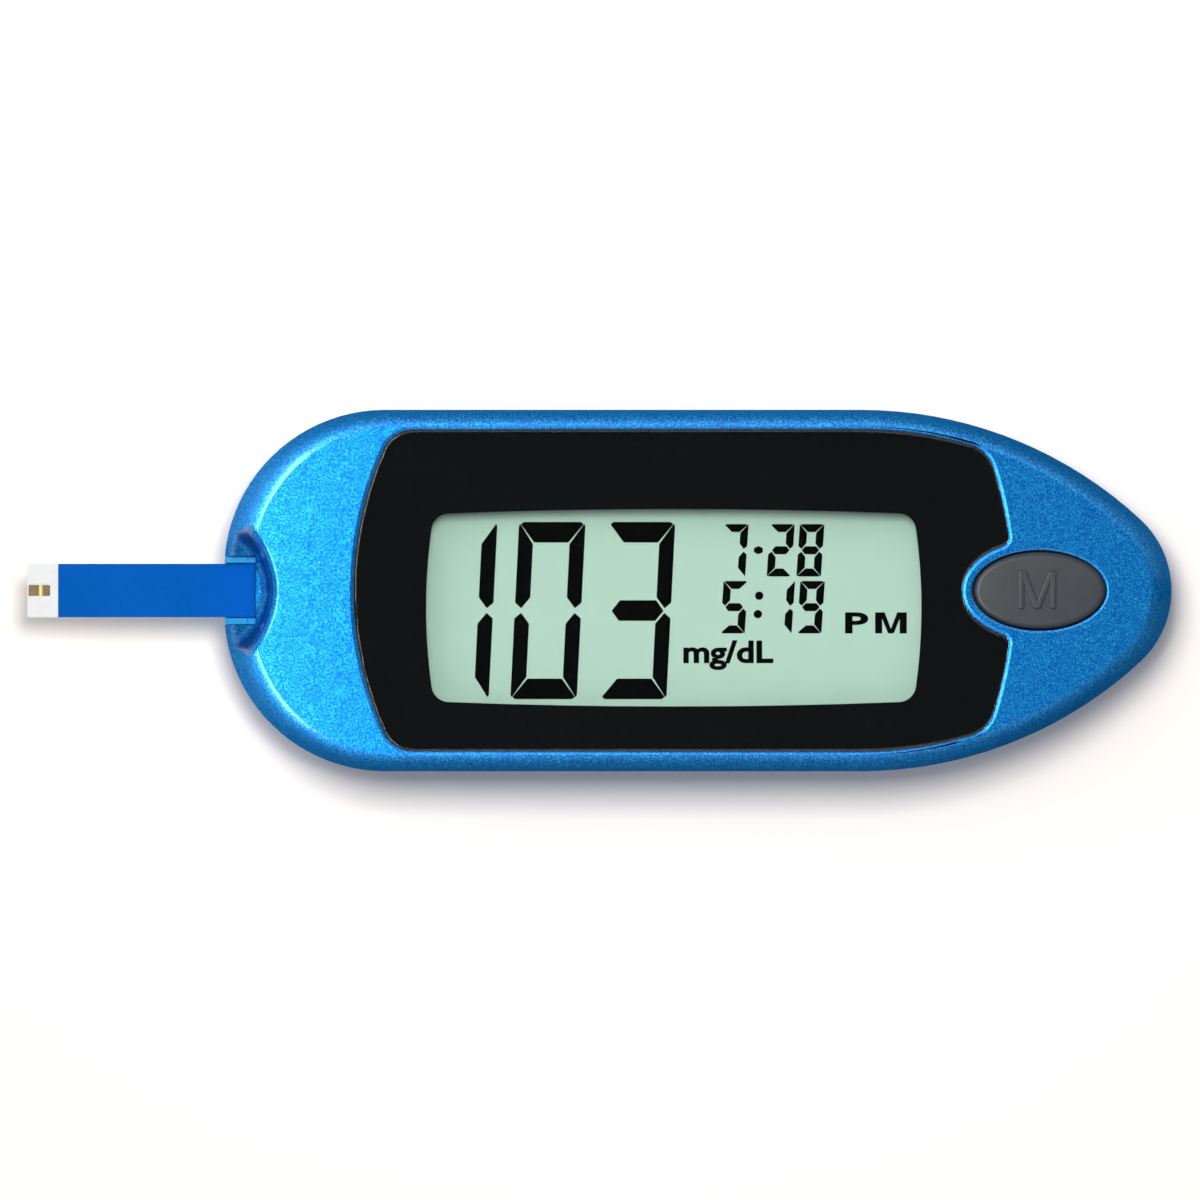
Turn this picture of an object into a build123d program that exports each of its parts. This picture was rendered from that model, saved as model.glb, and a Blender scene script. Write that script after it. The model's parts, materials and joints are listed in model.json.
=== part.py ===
"""Pocket blood glucose meter with a test strip in its port.

Millimetres, +Z up out of the display face, +X from the strip port towards the nose.
The origin is the centre of the flat back. Each piece is its own solid in its own file.
"""

import os
from math import atan2, degrees, hypot, sqrt

from build123d import *

os.makedirs("parts", exist_ok=True)

# ---------------------------------------------------------------- case form
case_length = 86.0
case_width = 32.8
end_radius = 60.0            # shallow arc across the strip end
shoulder_offset = 1.8        # centres of the round shoulders, off the long axis
flank_radius = 37.3          # long arcs that draw in to the nose
nose_radius = 8.8
crown_radius = 620.0         # the face is crowned along its length
end_draft = 2.4              # how far the front shell leans in by the height of the face
side_draft = 0.5
nose_draft = 1.5
top_edge_radius = 1.15
bottom_edge_radius = 3.0
wall = 1.5
floor_thickness = 1.5
reveal = 0.25                # shadow gap where the two shells meet
tongue_height = 0.8
tongue_gap = 0.1

# ---------------------------------------------------------------- heights, from the back upwards
door_recess = 0.15
door_thickness = 1.2
cell_gap = 0.25              # free play of the cell above its door
cell_height = 3.2
contact_room = 0.2           # flat spring between the cell and the roof of its bay
bay_roof = 0.6
board_gap = 0.1
board_thickness = 1.0
parting_above_board = 0.5
strip_lift = 0.3             # strip above the board
component_room = 1.2         # free height over the board, under the display holder
holder_floor = 0.65
reflector_thickness = 0.15
glass_thickness = 0.7
polariser_thickness = 0.2
gasket_thickness = 1.2
ledge_thickness = 1.1
mask_thickness = 0.1
lens_thickness = 1.5         # at mid-length; the crown thins it towards its ends
lens_proud = 0.12

corner_radius = case_width / 2 - shoulder_offset
door_top = door_recess + door_thickness
cell_z = door_top + cell_gap
bay_roof_z = cell_z + cell_height + contact_room
board_z = bay_roof_z + bay_roof + board_gap
board_top = board_z + board_thickness
parting_z = board_top + parting_above_board
strip_z = board_top + strip_lift
holder_floor_z = board_top + component_room
reflector_z = holder_floor_z + holder_floor
rear_glass_z = reflector_z + reflector_thickness
front_glass_z = rear_glass_z + glass_thickness
glass_top = front_glass_z + glass_thickness
ceiling_z = glass_top + gasket_thickness
ledge_z = ceiling_z + ledge_thickness
lens_z = ledge_z + mask_thickness
face_z = lens_z + lens_thickness

# ---------------------------------------------------------------- memory key and lens outline
key_from_nose = 12.2
key_half_length = 5.9
key_half_width = 3.45
key_gap = 0.22
key_travel = 0.5
key_crown_radius = 60.0
key_proud = 0.5
key_edge_radius = 0.5
key_flange_reach = 0.7
key_flange_thickness = 0.8
key_stem_radius = 1.5
key_chamfer = 0.18           # on the shell, round the key
face_gap = 0.05              # between a key's flange and the shell that stops it

key_x = case_length / 2 - key_from_nose

lens_inset = 1.85            # from the case's widest line
lens_from_end = 11.83
lens_left_radius = 31.0
lens_right_radius = 37.0
lens_behind_key = 2.4        # right-hand edge of the lens, before the key's centre
notch_half_length = 6.95
notch_half_width = 4.5
lens_left_corner = 3.0
lens_right_corner = 3.2
notch_corner = 0.9
lens_gap = 0.08
lens_edge_radius = 0.3

lens_left_x = lens_from_end - case_length / 2
lens_right_x = key_x - lens_behind_key

# ---------------------------------------------------------------- display
window_left_margin = 6.62
window_right_margin = 8.25
window_top_margin = 7.2
window_bottom_margin = 4.08
window_end_bow = 0.7
window_side_bow = 0.45
window_corner = 1.6
window_relief = 0.9          # the ledge opens wider than the printed window
glass_margin = 2.65          # front glass beyond the window, left and right
glass_overhang = 1.6         # front glass beyond the rear glass, where the contact strips press
polariser_margin = 1.2
holder_wall = 0.9
fit_gap = 0.1                # between pieces that drop into one another
zebra_width = 1.3
zebra_end_margin = 2.0
peg_radius = 0.5

window_x0 = lens_left_x + window_left_margin
window_x1 = lens_right_x - window_right_margin
window_y0 = lens_inset - case_width / 2 + window_bottom_margin
window_y1 = case_width / 2 - lens_inset - window_top_margin
window_x = (window_x0 + window_x1) / 2
window_y = (window_y0 + window_y1) / 2
window_length = window_x1 - window_x0
window_height = window_y1 - window_y0
glass_length = window_length + 2 * glass_margin
rear_glass_height = window_height + 2 * window_relief
glass_height = rear_glass_height + 2 * glass_overhang
holder_length = glass_length + 2 * (fit_gap + holder_wall)
holder_height = glass_height + 2 * (fit_gap + holder_wall)
zebra_offset = (rear_glass_height + glass_overhang) / 2 + fit_gap / 2
zebra_length = glass_length - 2 * zebra_end_margin

# ---------------------------------------------------------------- strip port
scoop_floor_rise = 1.8       # from the strip's underside
scoop_floor_z = strip_z + scoop_floor_rise
scoop_floor = 0.75
scoop_wall = 1.2
scoop_foot_radius = 5.6
scoop_foot_from_end = 1.57   # centre of the foot circle, outside the end of the case
scoop_rim_radius = 7.5
scoop_rim_from_end = 2.95
scoop_edge_radius = 0.7
scoop_foot_fillet = 0.8
port_width = 6.2
port_depth = 2.95            # open tray, from the end of the case to the lip
guide_ledge = 0.6            # the tray's ledges lie this far under the scoop's floor
guide_root = 1.1             # the tray's foot, below the strip
strip_width = 4.85
strip_reach = 17.8           # bare strip outside the case
strip_insert = 12.5          # strip inside the case
strip_base_thickness = 0.30
electrode_thickness = 0.04
spacer_thickness = 0.10
film_thickness = 0.08
label_thickness = 0.05
strip_gap = 0.1
strip_slot_height = 0.75
track_width = 0.9
track_inset = 0.4
sample_width = 1.07          # capillary channel
channel_length = 2.05
clear_tip = 2.8              # bare film ahead of the printed label
cover_past_lip = 1.5

end_x = -case_length / 2
scoop_foot_x = end_x - scoop_foot_from_end
scoop_rim_x = end_x - scoop_rim_from_end
lip_x = end_x + port_depth
cover_end_x = lip_x + cover_past_lip
strip_tip_x = end_x - strip_reach
strip_end_x = end_x + strip_insert
strip_slot_z = strip_z - face_gap

# ---------------------------------------------------------------- strip connector
connector_width = 9.2
connector_height = 2.9
connector_back = 1.6         # behind the end of the strip
connector_slot_roof = 0.8    # above the slot's floor
contact_count = 3
contact_pitch = 1.5
contact_width = 0.5
contact_thickness = 0.15
contact_lift = 1.1           # the contacts' backs above the slot's roof
contact_tail = 0.15
contact_bend_from_end = 1.0
contact_touch_from_front = 2.6
contact_tip_from_front = 1.4
contact_tip_rise = 0.6
contact_channel_from_front = 0.8
connector_chamfer = 0.3
connector_from_bowl = 0.45

bowl_x = scoop_foot_x + scoop_foot_radius + scoop_wall
connector_x0 = bowl_x + connector_from_bowl
connector_x1 = strip_end_x + connector_back
slot_z = strip_z - strip_gap

# ---------------------------------------------------------------- fasteners
screw_radius = 0.8
screw_head_radius = 1.7
screw_head_height = 1.1
screw_head_edge = 0.35
cross_slot = 0.4
pilot_spare = 0.4            # pilot hole past the screw's tip
screw_head_z = 1.1           # how deep the head lies in its well
screw_bite = 3.4             # thread in the front shell
well_gap = 0.2
pilot_gap = 0.02
boss_radius = 2.8
front_boss_radius = 2.2
strip_boss_inset = 11.5
strip_boss_y = 10.5
nose_boss_behind_key = 0.8
nose_boss_y = 9.0

boss_points = [
    (end_x + strip_boss_inset, -strip_boss_y),
    (end_x + strip_boss_inset, strip_boss_y),
    (key_x - nose_boss_behind_key, -nose_boss_y),
    (key_x - nose_boss_behind_key, nose_boss_y),
]
screw_seat_z = screw_head_z + screw_head_height

# ---------------------------------------------------------------- coin cell and its bay
cell_radius = 10.0
cell_edge_radius = 0.35
can_thickness = 0.25
cap_radius = 8.8
cap_edge_radius = 0.3
cap_step = 0.2
seal_width = 0.45
cathode_height = 1.4
lithium_height = 0.7
cell_side_gap = 0.3
bay_wall = 1.0
bay_end_wall = 1.6           # at the hinge, where it also stands on the floor
bay_end_gap = 0.7            # between the cell and the hinge wall
bay_key_room = 2.9           # beyond the cell, for the setting key
bay_corner = 2.0
pocket_margin = 0.45         # the door's pocket beyond the bay, each side
door_gap = 0.15
door_corner = 2.5
door_seat = 0.8              # ledge that the door closes on, at its latch end
tab_y = 5.8
tab_width = 2.8
tab_reach = 1.5
tab_thickness = 0.55
tab_end_gap = 0.2
latch_thickness = 0.6
latch_width = 6.0
latch_height = 1.2
grip_inset = 4.0
grip_pitch = 1.1
grip_count = 5
grip_length = 9.0
grip_width = 0.5
grip_depth = 0.3

pocket_x1 = boss_points[2][0] - boss_radius
bay_x1 = pocket_x1 - bay_wall
cell_x = bay_x1 - bay_end_gap - cell_radius
bay_x0 = cell_x - cell_radius - bay_key_room
pocket_x0 = bay_x0 - door_seat
bay_half_width = cell_radius + cell_side_gap
pocket_half_width = bay_half_width + pocket_margin
hinge_radius = door_thickness / 2
leg_thickness = 0.15
leg_width = 3.4
leg_gap = 0.02
negative_leg_from_centre = 5.5
negative_leaf_reach = 5.0    # the flat leaf, on the other side of the cell's centre
negative_leaf_tip = 1.0
positive_foot_out = 0.5      # the positive leaf's foot springs out from its leg
positive_foot_z = 0.5
positive_knee_z = 1.2
positive_leg_x = cell_x - cell_radius - leg_gap - leg_thickness / 2
negative_leg_x = cell_x + negative_leg_from_centre
hinge_x = pocket_x1 - door_gap - hinge_radius
hinge_z = door_recess + hinge_radius

# ---------------------------------------------------------------- label on the back
label_length = 24.0
label_height = 20.0
label_corner = 1.5
label_recess = 0.2
label_sheet = 0.12
label_from_door = 5.0
label_x = pocket_x0 - label_from_door - label_length / 2

# ---------------------------------------------------------------- setting key, in the bay
set_key_radius = 1.2
set_key_travel = 0.25
set_key_from_bay = 1.6
set_key_y = 8.6
set_key_length = 1.3
set_key_flange_radius = 1.9
set_key_flange = 0.4
set_key_edge = 0.3
set_switch_size = 3.2
set_switch_height = 1.2
set_switch_base = 0.3
switch_corner = 0.4
set_key_slack = 0.1          # plunger travel left when the key is right in
set_well_radius = 2.45
set_well_wall = 0.6
plunger_gap = 0.05

set_key_x = bay_x0 + set_key_from_bay
set_switch_z = board_z - set_switch_height
set_flange_top = set_switch_z - set_key_travel - set_key_slack
set_flange_z = set_flange_top - set_key_flange
set_floor_z = set_flange_z - face_gap

# ---------------------------------------------------------------- board and its components
board_edge_gap = 0.4
switch_size = 4.4
switch_height = 1.9
switch_base = 0.5
plunger_radius = 0.9
plunger_proud = 0.6
plunger_slack = 0.6          # plunger travel left when the key is right in
set_plunger_radius = 0.6
chip_height = 1.0
lead_thickness = 0.15
lead_length = 1.2
lead_reach = 0.4             # middle of a lead, beyond the chip's side
controller_length = 9.0
controller_width = 7.0
controller_lead_count = 12
controller_pitch = 0.65
controller_from_edge = 16.0  # from the left edge of the rear glass
controller_rise = 2.0        # above the middle of the window
front_end_length = 5.0
front_end_width = 4.4
front_end_lead_count = 5
front_end_pitch = 0.9
front_end_from_edge = 5.5
front_end_rise = 1.0
memory_length = 4.9
memory_width = 3.9
memory_lead_count = 4
memory_pitch = 1.27
memory_from_edge = 27.0
memory_rise = 3.0
crystal_radius = 0.45
crystal_length = 4.0
crystal_foot = 1.0
crystal_from_edge = 25.0
crystal_drop = 4.0
chip_part_length = 1.0
chip_part_width = 0.5
chip_part_height = 0.45
chip_part_pitch = 2.2
chip_part_row_pitch = 2.4
row_part_count = 6                # two rows under the controller
row_from_edge = 12.0
row_drop = 5.5
block_column_count = 3            # a block of them beyond the memory
block_row_count = 4
block_from_edge = 35.0
buzzer_radius = 4.5
buzzer_height = 2.4
buzzer_lid = 0.4
buzzer_hole_radius = 0.75
buzzer_edge_radius = 0.3

board_x0 = lip_x - 0.1
board_left = window_x + polariser_margin - glass_length / 2
stem_z = board_top + switch_height + plunger_proud
plunger_z = board_top + switch_base + plunger_slack
buzzer_x = pocket_x0 - bay_wall - 3 * buzzer_radius


def bow(centre, start, end):
    """The short arc about centre that runs from start to end."""
    middle = centre + ((start - centre) + (end - centre)).normalized() * (start - centre).length
    return ThreePointArc(start, middle, end)


def flipped(point):
    """The same point on the other side of the meter's long axis."""
    return Vector(point.X, -point.Y)


def case_face(inset=0.0, end_shift=0.0, nose_shift=0.0):
    """Plan outline of the case, drawn in by inset all round: six arcs and two straight sides.

    The shifts move its strip end and its nose further in along the meter.
    """
    half_width = case_width / 2
    end = Vector(end_x + end_radius + end_shift, 0)
    nose = Vector(case_length / 2 - nose_radius - nose_shift, 0)
    corner_rise = half_width - corner_radius
    corner = Vector(end.X - sqrt((end_radius - corner_radius) ** 2 - corner_rise**2), corner_rise)
    flank_drop = half_width - flank_radius
    flank = Vector(nose.X - sqrt((flank_radius - nose_radius) ** 2 - flank_drop**2), flank_drop)

    shoulder = end + (corner - end).normalized() * (end_radius - inset)
    tip = flank + (nose - flank).normalized() * (flank_radius - inset)
    side_start = Vector(corner.X, half_width - inset)
    side_end = Vector(flank.X, half_width - inset)
    with BuildSketch() as face:
        with BuildLine():
            bow(end, flipped(shoulder), shoulder)
            bow(corner, shoulder, side_start)
            Line(side_start, side_end)
            bow(flank, side_end, tip)
            bow(nose, tip, flipped(tip))
            bow(flipped(flank), flipped(tip), flipped(side_end))
            Line(flipped(side_end), flipped(side_start))
            bow(flipped(corner), flipped(side_start), flipped(shoulder))
        make_face()
    return face.sketch


def lens_face(grow=0.0):
    """Outline of the lens: two end arcs inside the case outline, with the notch round the key."""
    half_width = case_width / 2
    left_radius, right_radius = lens_left_radius + grow, lens_right_radius + grow
    left_x, right_x = lens_left_x - grow, lens_right_x + grow
    left_side_x = left_x + left_radius - sqrt(left_radius**2 - half_width**2)
    right_side_x = right_x - right_radius + sqrt(right_radius**2 - half_width**2)
    with BuildSketch(mode=Mode.PRIVATE) as between_ends:
        with BuildLine():
            ThreePointArc((left_side_x, -half_width), (left_x, 0), (left_side_x, half_width))
            Line((left_side_x, half_width), (right_side_x, half_width))
            ThreePointArc((right_side_x, half_width), (right_x, 0), (right_side_x, -half_width))
            Line((right_side_x, -half_width), (left_side_x, -half_width))
        make_face()
    with BuildSketch() as face:
        add(case_face(lens_inset - grow))
        # the long sides run straight past the round shoulders
        with Locations((case_face_flank_x(), 0)):
            Rectangle(
                case_length, case_width - 2 * (lens_inset - grow), align=(Align.MAX, Align.CENTER)
            )
        add(between_ends.sketch, mode=Mode.INTERSECT)
        with Locations((key_x, 0)):
            Ellipse(notch_half_length - grow, notch_half_width - grow, mode=Mode.SUBTRACT)
        inner_reach = notch_half_width + 1
        fillet(sharp_corners(face).filter_by(lambda v: v.X < window_x), lens_left_corner + grow)
        fillet(
            sharp_corners(face).filter_by(lambda v: v.X > window_x and abs(v.Y) < inner_reach),
            notch_corner + grow,
        )
        fillet(
            sharp_corners(face).filter_by(lambda v: v.X > window_x and abs(v.Y) > inner_reach),
            lens_right_corner + grow,
        )
    return face.sketch


def sharp_corners(face):
    """The corners of a lens outline, without the points where its straight sides end."""
    return face.vertices().filter_by(lambda v: abs(v.X - case_face_flank_x()) > 0.01)


def case_face_flank_x():
    """Where the straight side ends and the flank's arc begins."""
    reach = flank_radius - nose_radius
    drop = flank_radius - case_width / 2
    return case_length / 2 - nose_radius - sqrt(reach**2 - drop**2)


def window_face(grow=0.0):
    """The display window: four shallow outward arcs with rounded corners."""
    left, right = window_x0 - grow, window_x1 + grow
    bottom, top = window_y0 - grow, window_y1 + grow
    corner_left, corner_right = left + window_end_bow, right - window_end_bow
    corner_bottom, corner_top = bottom + window_side_bow, top - window_side_bow
    with BuildSketch() as face:
        with BuildLine():
            ThreePointArc((corner_left, corner_top), (window_x, top), (corner_right, corner_top))
            ThreePointArc((corner_right, corner_top), (right, window_y), (corner_right, corner_bottom))
            ThreePointArc((corner_right, corner_bottom), (window_x, bottom), (corner_left, corner_bottom))
            ThreePointArc((corner_left, corner_bottom), (left, window_y), (corner_left, corner_top))
        make_face()
        fillet(face.vertices(), window_corner + grow)
    return face.sketch


def under_crown(height):
    """Keep only what lies under the crowned face, height above the back at mid-length."""
    with Locations(Location((0, 0, height - crown_radius), (90, 0, 0))):
        Cylinder(crown_radius, 2 * case_width, mode=Mode.INTERSECT)


outer_face = case_face()
inner_face = case_face(wall)
tongue_inset = (wall + tongue_gap) / 2
clear_window = window_face()
lens_outline = lens_face()
lens_seat = lens_face(lens_gap)
lens_print = lens_face(-lens_gap)


def leaning_face(inset, height):
    """Plan outline of the front shell's leaning wall at a height, drawn in by inset."""
    lean = (height - parting_z) / (face_z - parting_z)
    return case_face(
        inset + side_draft * lean, (end_draft - side_draft) * lean, (nose_draft - side_draft) * lean
    )


def by_scoop(edge):
    """True for an edge of the face that runs along the rim of the finger scoop."""
    centre = edge.center()
    return hypot(centre.X - scoop_rim_x, centre.Y) < scoop_rim_radius + scoop_edge_radius


def finish(piece, name):
    """Name a finished piece and write it to its own file."""
    piece.part.label = name
    export_step(piece.part, f"parts/{name}.step")


# ================================================================ tools shared by the shells
rim_z = face_z - end_x**2 / (2 * crown_radius)
rim_rise = (face_z + 1 - scoop_floor_z) / (rim_z - scoop_floor_z)
scoop_top_radius = scoop_foot_radius + (scoop_rim_radius - scoop_foot_radius) * rim_rise
scoop_top_x = scoop_foot_x + (scoop_rim_x - scoop_foot_x) * rim_rise

# the finger scoop: a leaning cone with a rounded foot, its seam turned away from the case
with BuildPart() as scoop:
    with BuildSketch(Plane.XY.offset(scoop_floor_z)):
        with Locations(Location((scoop_foot_x, 0, 0), (0, 0, 180))):
            Circle(scoop_foot_radius)
    with BuildSketch(Plane.XY.offset(face_z + 1)):
        with Locations(Location((scoop_top_x, 0, 0), (0, 0, 180))):
            Circle(scoop_top_radius)
    loft()
    fillet(scoop.edges().group_by(Axis.Z)[0], scoop_foot_fillet)

# the front shell before it is hollowed
with BuildPart() as front_blank:
    with BuildSketch(Plane.XY.offset(parting_z)):
        add(outer_face)
    with BuildSketch(Plane.XY.offset(face_z + 1)):
        add(leaning_face(0, face_z + 1))
    loft(ruled=True)
    under_crown(face_z)
    add(scoop.part, mode=Mode.SUBTRACT)
    rim = front_blank.faces().sort_by(Axis.Z)[-1].edges()
    fillet(rim.filter_by(lambda edge: not by_scoop(edge)), top_edge_radius)
    rim = front_blank.faces().sort_by(Axis.Z)[-1].edges()
    fillet(rim.filter_by(by_scoop), scoop_edge_radius)

# the wall behind the scoop, kept inside the shell
with BuildPart() as scoop_bowl:
    with BuildSketch(Plane.XY.offset(scoop_floor_z - scoop_floor)):
        with Locations(Location((scoop_foot_x, 0, 0), (0, 0, 180))):
            Circle(scoop_foot_radius + scoop_wall)
    with BuildSketch(Plane.XY.offset(face_z + 1)):
        with Locations(Location((scoop_top_x, 0, 0), (0, 0, 180))):
            Circle(scoop_top_radius + scoop_wall)
    loft()
    add(front_blank.part, mode=Mode.INTERSECT)

# the free space in the rear shell
with BuildPart() as rear_cavity:
    with BuildSketch(Plane.XY.offset(floor_thickness)):
        add(inner_face)
    extrude(amount=parting_z + tongue_height - floor_thickness)
    fillet(rear_cavity.faces().sort_by(Axis.Z)[0].edges(), bottom_edge_radius - wall)

# ================================================================ front shell
with BuildPart() as front_case:
    add(front_blank.part)
    # inside, and the rebate that takes the rear shell's tongue
    with BuildSketch(Plane.XY.offset(parting_z)):
        add(inner_face)
    with BuildSketch(Plane.XY.offset(ceiling_z)):
        add(leaning_face(wall, ceiling_z))
    loft(ruled=True, mode=Mode.SUBTRACT)
    with BuildSketch(Plane.XY.offset(parting_z)):
        add(case_face(tongue_inset - tongue_gap))
    extrude(amount=tongue_height + tongue_gap, mode=Mode.SUBTRACT)
    # screw bosses that stand on the board
    with BuildSketch(Plane.XY.offset(board_top)):
        with Locations(*boss_points):
            Circle(front_boss_radius)
    extrude(amount=ceiling_z + wall / 2 - board_top)
    # finger scoop at the strip port
    add(scoop_bowl.part)
    with BuildSketch(Plane.XY.offset(parting_z - 1)):
        with Locations((lip_x, 0)):
            Rectangle(2 * port_depth, port_width, align=(Align.MAX, Align.CENTER))
    extrude(amount=scoop_floor_z + scoop_foot_fillet - parting_z + 1, mode=Mode.SUBTRACT)
    # screw pilots
    with BuildSketch(Plane.XY.offset(board_top)):
        with Locations(*boss_points):
            Circle(screw_radius + pilot_gap)
    extrude(amount=screw_bite + pilot_spare, mode=Mode.SUBTRACT)
    # seat of the lens, window opening and key opening
    with BuildSketch(Plane.XY.offset(ledge_z)):
        add(lens_seat)
    extrude(amount=face_z, mode=Mode.SUBTRACT)
    with BuildSketch(Plane.XY.offset(ceiling_z - wall)):
        add(window_face(window_relief))
    extrude(amount=face_z, mode=Mode.SUBTRACT)
    with BuildSketch(Plane.XY.offset(ceiling_z - wall)):
        with Locations((key_x, 0)):
            Ellipse(key_half_length + key_gap, key_half_width + key_gap)
    extrude(amount=face_z, mode=Mode.SUBTRACT)
    # broken edge round the key
    chamfer(front_case.edges(Select.LAST).sort_by(Axis.Z)[-1], key_chamfer)
finish(front_case, "front_case")

# ================================================================ rear shell
with BuildPart() as rear_case:
    with BuildSketch():
        add(outer_face)
    extrude(amount=parting_z)
    fillet(rear_case.faces().sort_by(Axis.Z)[0].edges(), bottom_edge_radius)
    # shadow gap under the front shell
    with BuildSketch(Plane.XY.offset(parting_z - reveal)):
        add(outer_face)
        add(case_face(reveal), mode=Mode.SUBTRACT)
    extrude(amount=reveal, mode=Mode.SUBTRACT)
    # tongue
    with BuildSketch(Plane.XY.offset(parting_z - wall)):
        add(case_face(tongue_inset))
    extrude(amount=wall + tongue_height)
    add(rear_cavity.part, mode=Mode.SUBTRACT)
    # bosses under the board
    with BuildSketch(Plane.XY.offset(floor_thickness / 2)):
        with Locations(*boss_points):
            Circle(boss_radius)
    extrude(amount=board_z - floor_thickness / 2)
    # battery bay
    with BuildSketch(Plane.XY.offset(floor_thickness / 2)):
        with Locations(((bay_x0 - bay_wall + bay_x1 + bay_end_wall) / 2, 0)):
            RectangleRounded(
                bay_x1 - bay_x0 + bay_wall + bay_end_wall, 2 * (bay_half_width + bay_wall), bay_wall
            )
    extrude(amount=board_z - board_gap - floor_thickness / 2)
    with BuildSketch():
        with Locations(((bay_x0 + bay_x1) / 2, 0)):
            RectangleRounded(bay_x1 - bay_x0, 2 * bay_half_width, bay_corner)
    extrude(amount=bay_roof_z, mode=Mode.SUBTRACT)
    # pocket that the door closes into, rounded at its latch end
    with BuildSketch() as pocket:
        with Locations(((pocket_x0 + pocket_x1) / 2, 0)):
            Rectangle(pocket_x1 - pocket_x0, 2 * pocket_half_width)
        fillet(pocket.vertices().group_by(Axis.X)[0], door_corner)
    extrude(amount=floor_thickness, mode=Mode.SUBTRACT)
    # slots for the door's hook tabs, over the edge of the floor
    with BuildSketch(Plane.XY.offset(floor_thickness)):
        with Locations((bay_x1 - bay_wall, -tab_y), (bay_x1 - bay_wall, tab_y)):
            Rectangle(
                hinge_x + tab_reach + tab_end_gap - bay_x1 + bay_wall,
                tab_width + 4 * fit_gap,
                align=(Align.MIN, Align.CENTER),
            )
    extrude(amount=hinge_radius * 3, mode=Mode.SUBTRACT)
    # well of the setting key
    with BuildSketch(Plane.XY.offset(set_floor_z - set_well_wall)):
        with Locations((set_key_x, set_key_y)):
            Circle(set_well_radius + set_well_wall)
    extrude(amount=board_z - board_gap - set_floor_z + set_well_wall)
    with BuildSketch(Plane.XY.offset(set_floor_z)):
        with Locations((set_key_x, set_key_y)):
            Circle(set_well_radius)
    extrude(amount=board_z - set_floor_z, mode=Mode.SUBTRACT)
    with BuildSketch(Plane.XY.offset(set_floor_z - 2 * set_well_wall)):
        with Locations((set_key_x, set_key_y)):
            Circle(set_key_radius + fit_gap)
    extrude(amount=3 * set_well_wall, mode=Mode.SUBTRACT)
    # slots in the bay's roof for the legs of the battery contacts
    with BuildSketch(Plane.XY.offset(bay_roof_z - contact_room)):
        with Locations((positive_leg_x, 0), (negative_leg_x, 0)):
            Rectangle(leg_thickness + 4 * fit_gap, leg_width + 2 * fit_gap)
    extrude(amount=board_z - bay_roof_z + contact_room, mode=Mode.SUBTRACT)
    # shallow recess for the label
    with BuildSketch():
        with Locations((label_x, 0)):
            RectangleRounded(
                label_length + 2 * fit_gap, label_height + 2 * fit_gap, label_corner + fit_gap
            )
    extrude(amount=label_recess, mode=Mode.SUBTRACT)
    # screw wells and their through holes
    with BuildSketch():
        with Locations(*boss_points):
            Circle(screw_head_radius + well_gap)
    extrude(amount=screw_seat_z, mode=Mode.SUBTRACT)
    with BuildSketch():
        with Locations(*boss_points):
            Circle(screw_radius + fit_gap)
    extrude(amount=board_top, mode=Mode.SUBTRACT)
    # notch for the strip guide
    with BuildSketch(Plane.XY.offset(strip_z - guide_root - face_gap)):
        with Locations((board_x0, 0)):
            Rectangle(2 * port_depth, port_width, align=(Align.MAX, Align.CENTER))
    extrude(amount=scoop_floor_z, mode=Mode.SUBTRACT)
finish(rear_case, "rear_case")

# ================================================================ lens and its printed back
with BuildPart() as display_lens:
    with BuildSketch(Plane.XY.offset(lens_z)):
        add(lens_outline)
    extrude(amount=face_z + 1 - lens_z)
    under_crown(face_z + lens_proud)
    fillet(display_lens.faces().sort_by(Axis.Z)[-1].edges(), lens_edge_radius)
finish(display_lens, "display_lens")

with BuildPart() as lens_mask:
    with BuildSketch(Plane.XY.offset(ledge_z)):
        add(lens_print)
        add(clear_window, mode=Mode.SUBTRACT)
    extrude(amount=mask_thickness)
finish(lens_mask, "lens_mask")

# ================================================================ display stack
with BuildPart() as display_gasket:
    with BuildSketch(Plane.XY.offset(glass_top)):
        with Locations((window_x, window_y)):
            RectangleRounded(glass_length, glass_height, window_corner)
            RectangleRounded(
                window_length + 2 * window_relief + polariser_margin,
                window_height + 2 * window_relief + polariser_margin,
                window_corner,
                mode=Mode.SUBTRACT,
            )
    extrude(amount=gasket_thickness)
finish(display_gasket, "display_gasket")


def glass_pane(length, height, bottom, thickness):
    """One flat rectangular layer of the display, centred on the window."""
    with BuildPart() as pane:
        with BuildSketch(Plane.XY.offset(bottom)):
            with Locations((window_x, window_y)):
                Rectangle(length, height)
        extrude(amount=thickness)
    return pane


polariser_length = window_length + 2 * polariser_margin
polariser_height = window_height + polariser_margin
rear_glass_length = glass_length - 2 * polariser_margin

lcd_front_polariser = glass_pane(polariser_length, polariser_height, glass_top, polariser_thickness)
finish(lcd_front_polariser, "lcd_front_polariser")
lcd_front_glass = glass_pane(glass_length, glass_height, front_glass_z, glass_thickness)
finish(lcd_front_glass, "lcd_front_glass")
lcd_rear_glass = glass_pane(rear_glass_length, rear_glass_height, rear_glass_z, glass_thickness)
finish(lcd_rear_glass, "lcd_rear_glass")
lcd_reflector = glass_pane(
    rear_glass_length, rear_glass_height, reflector_z, reflector_thickness
)
finish(lcd_reflector, "lcd_reflector")

zebra_points = [(window_x, window_y - zebra_offset), (window_x, window_y + zebra_offset)]
peg_x = (holder_length - holder_wall) / 2
peg_y = (holder_height - holder_wall) / 2 - bay_corner
peg_points = [(window_x + i * peg_x, window_y + j * peg_y) for i in (-1, 1) for j in (-1, 1)]

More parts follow.
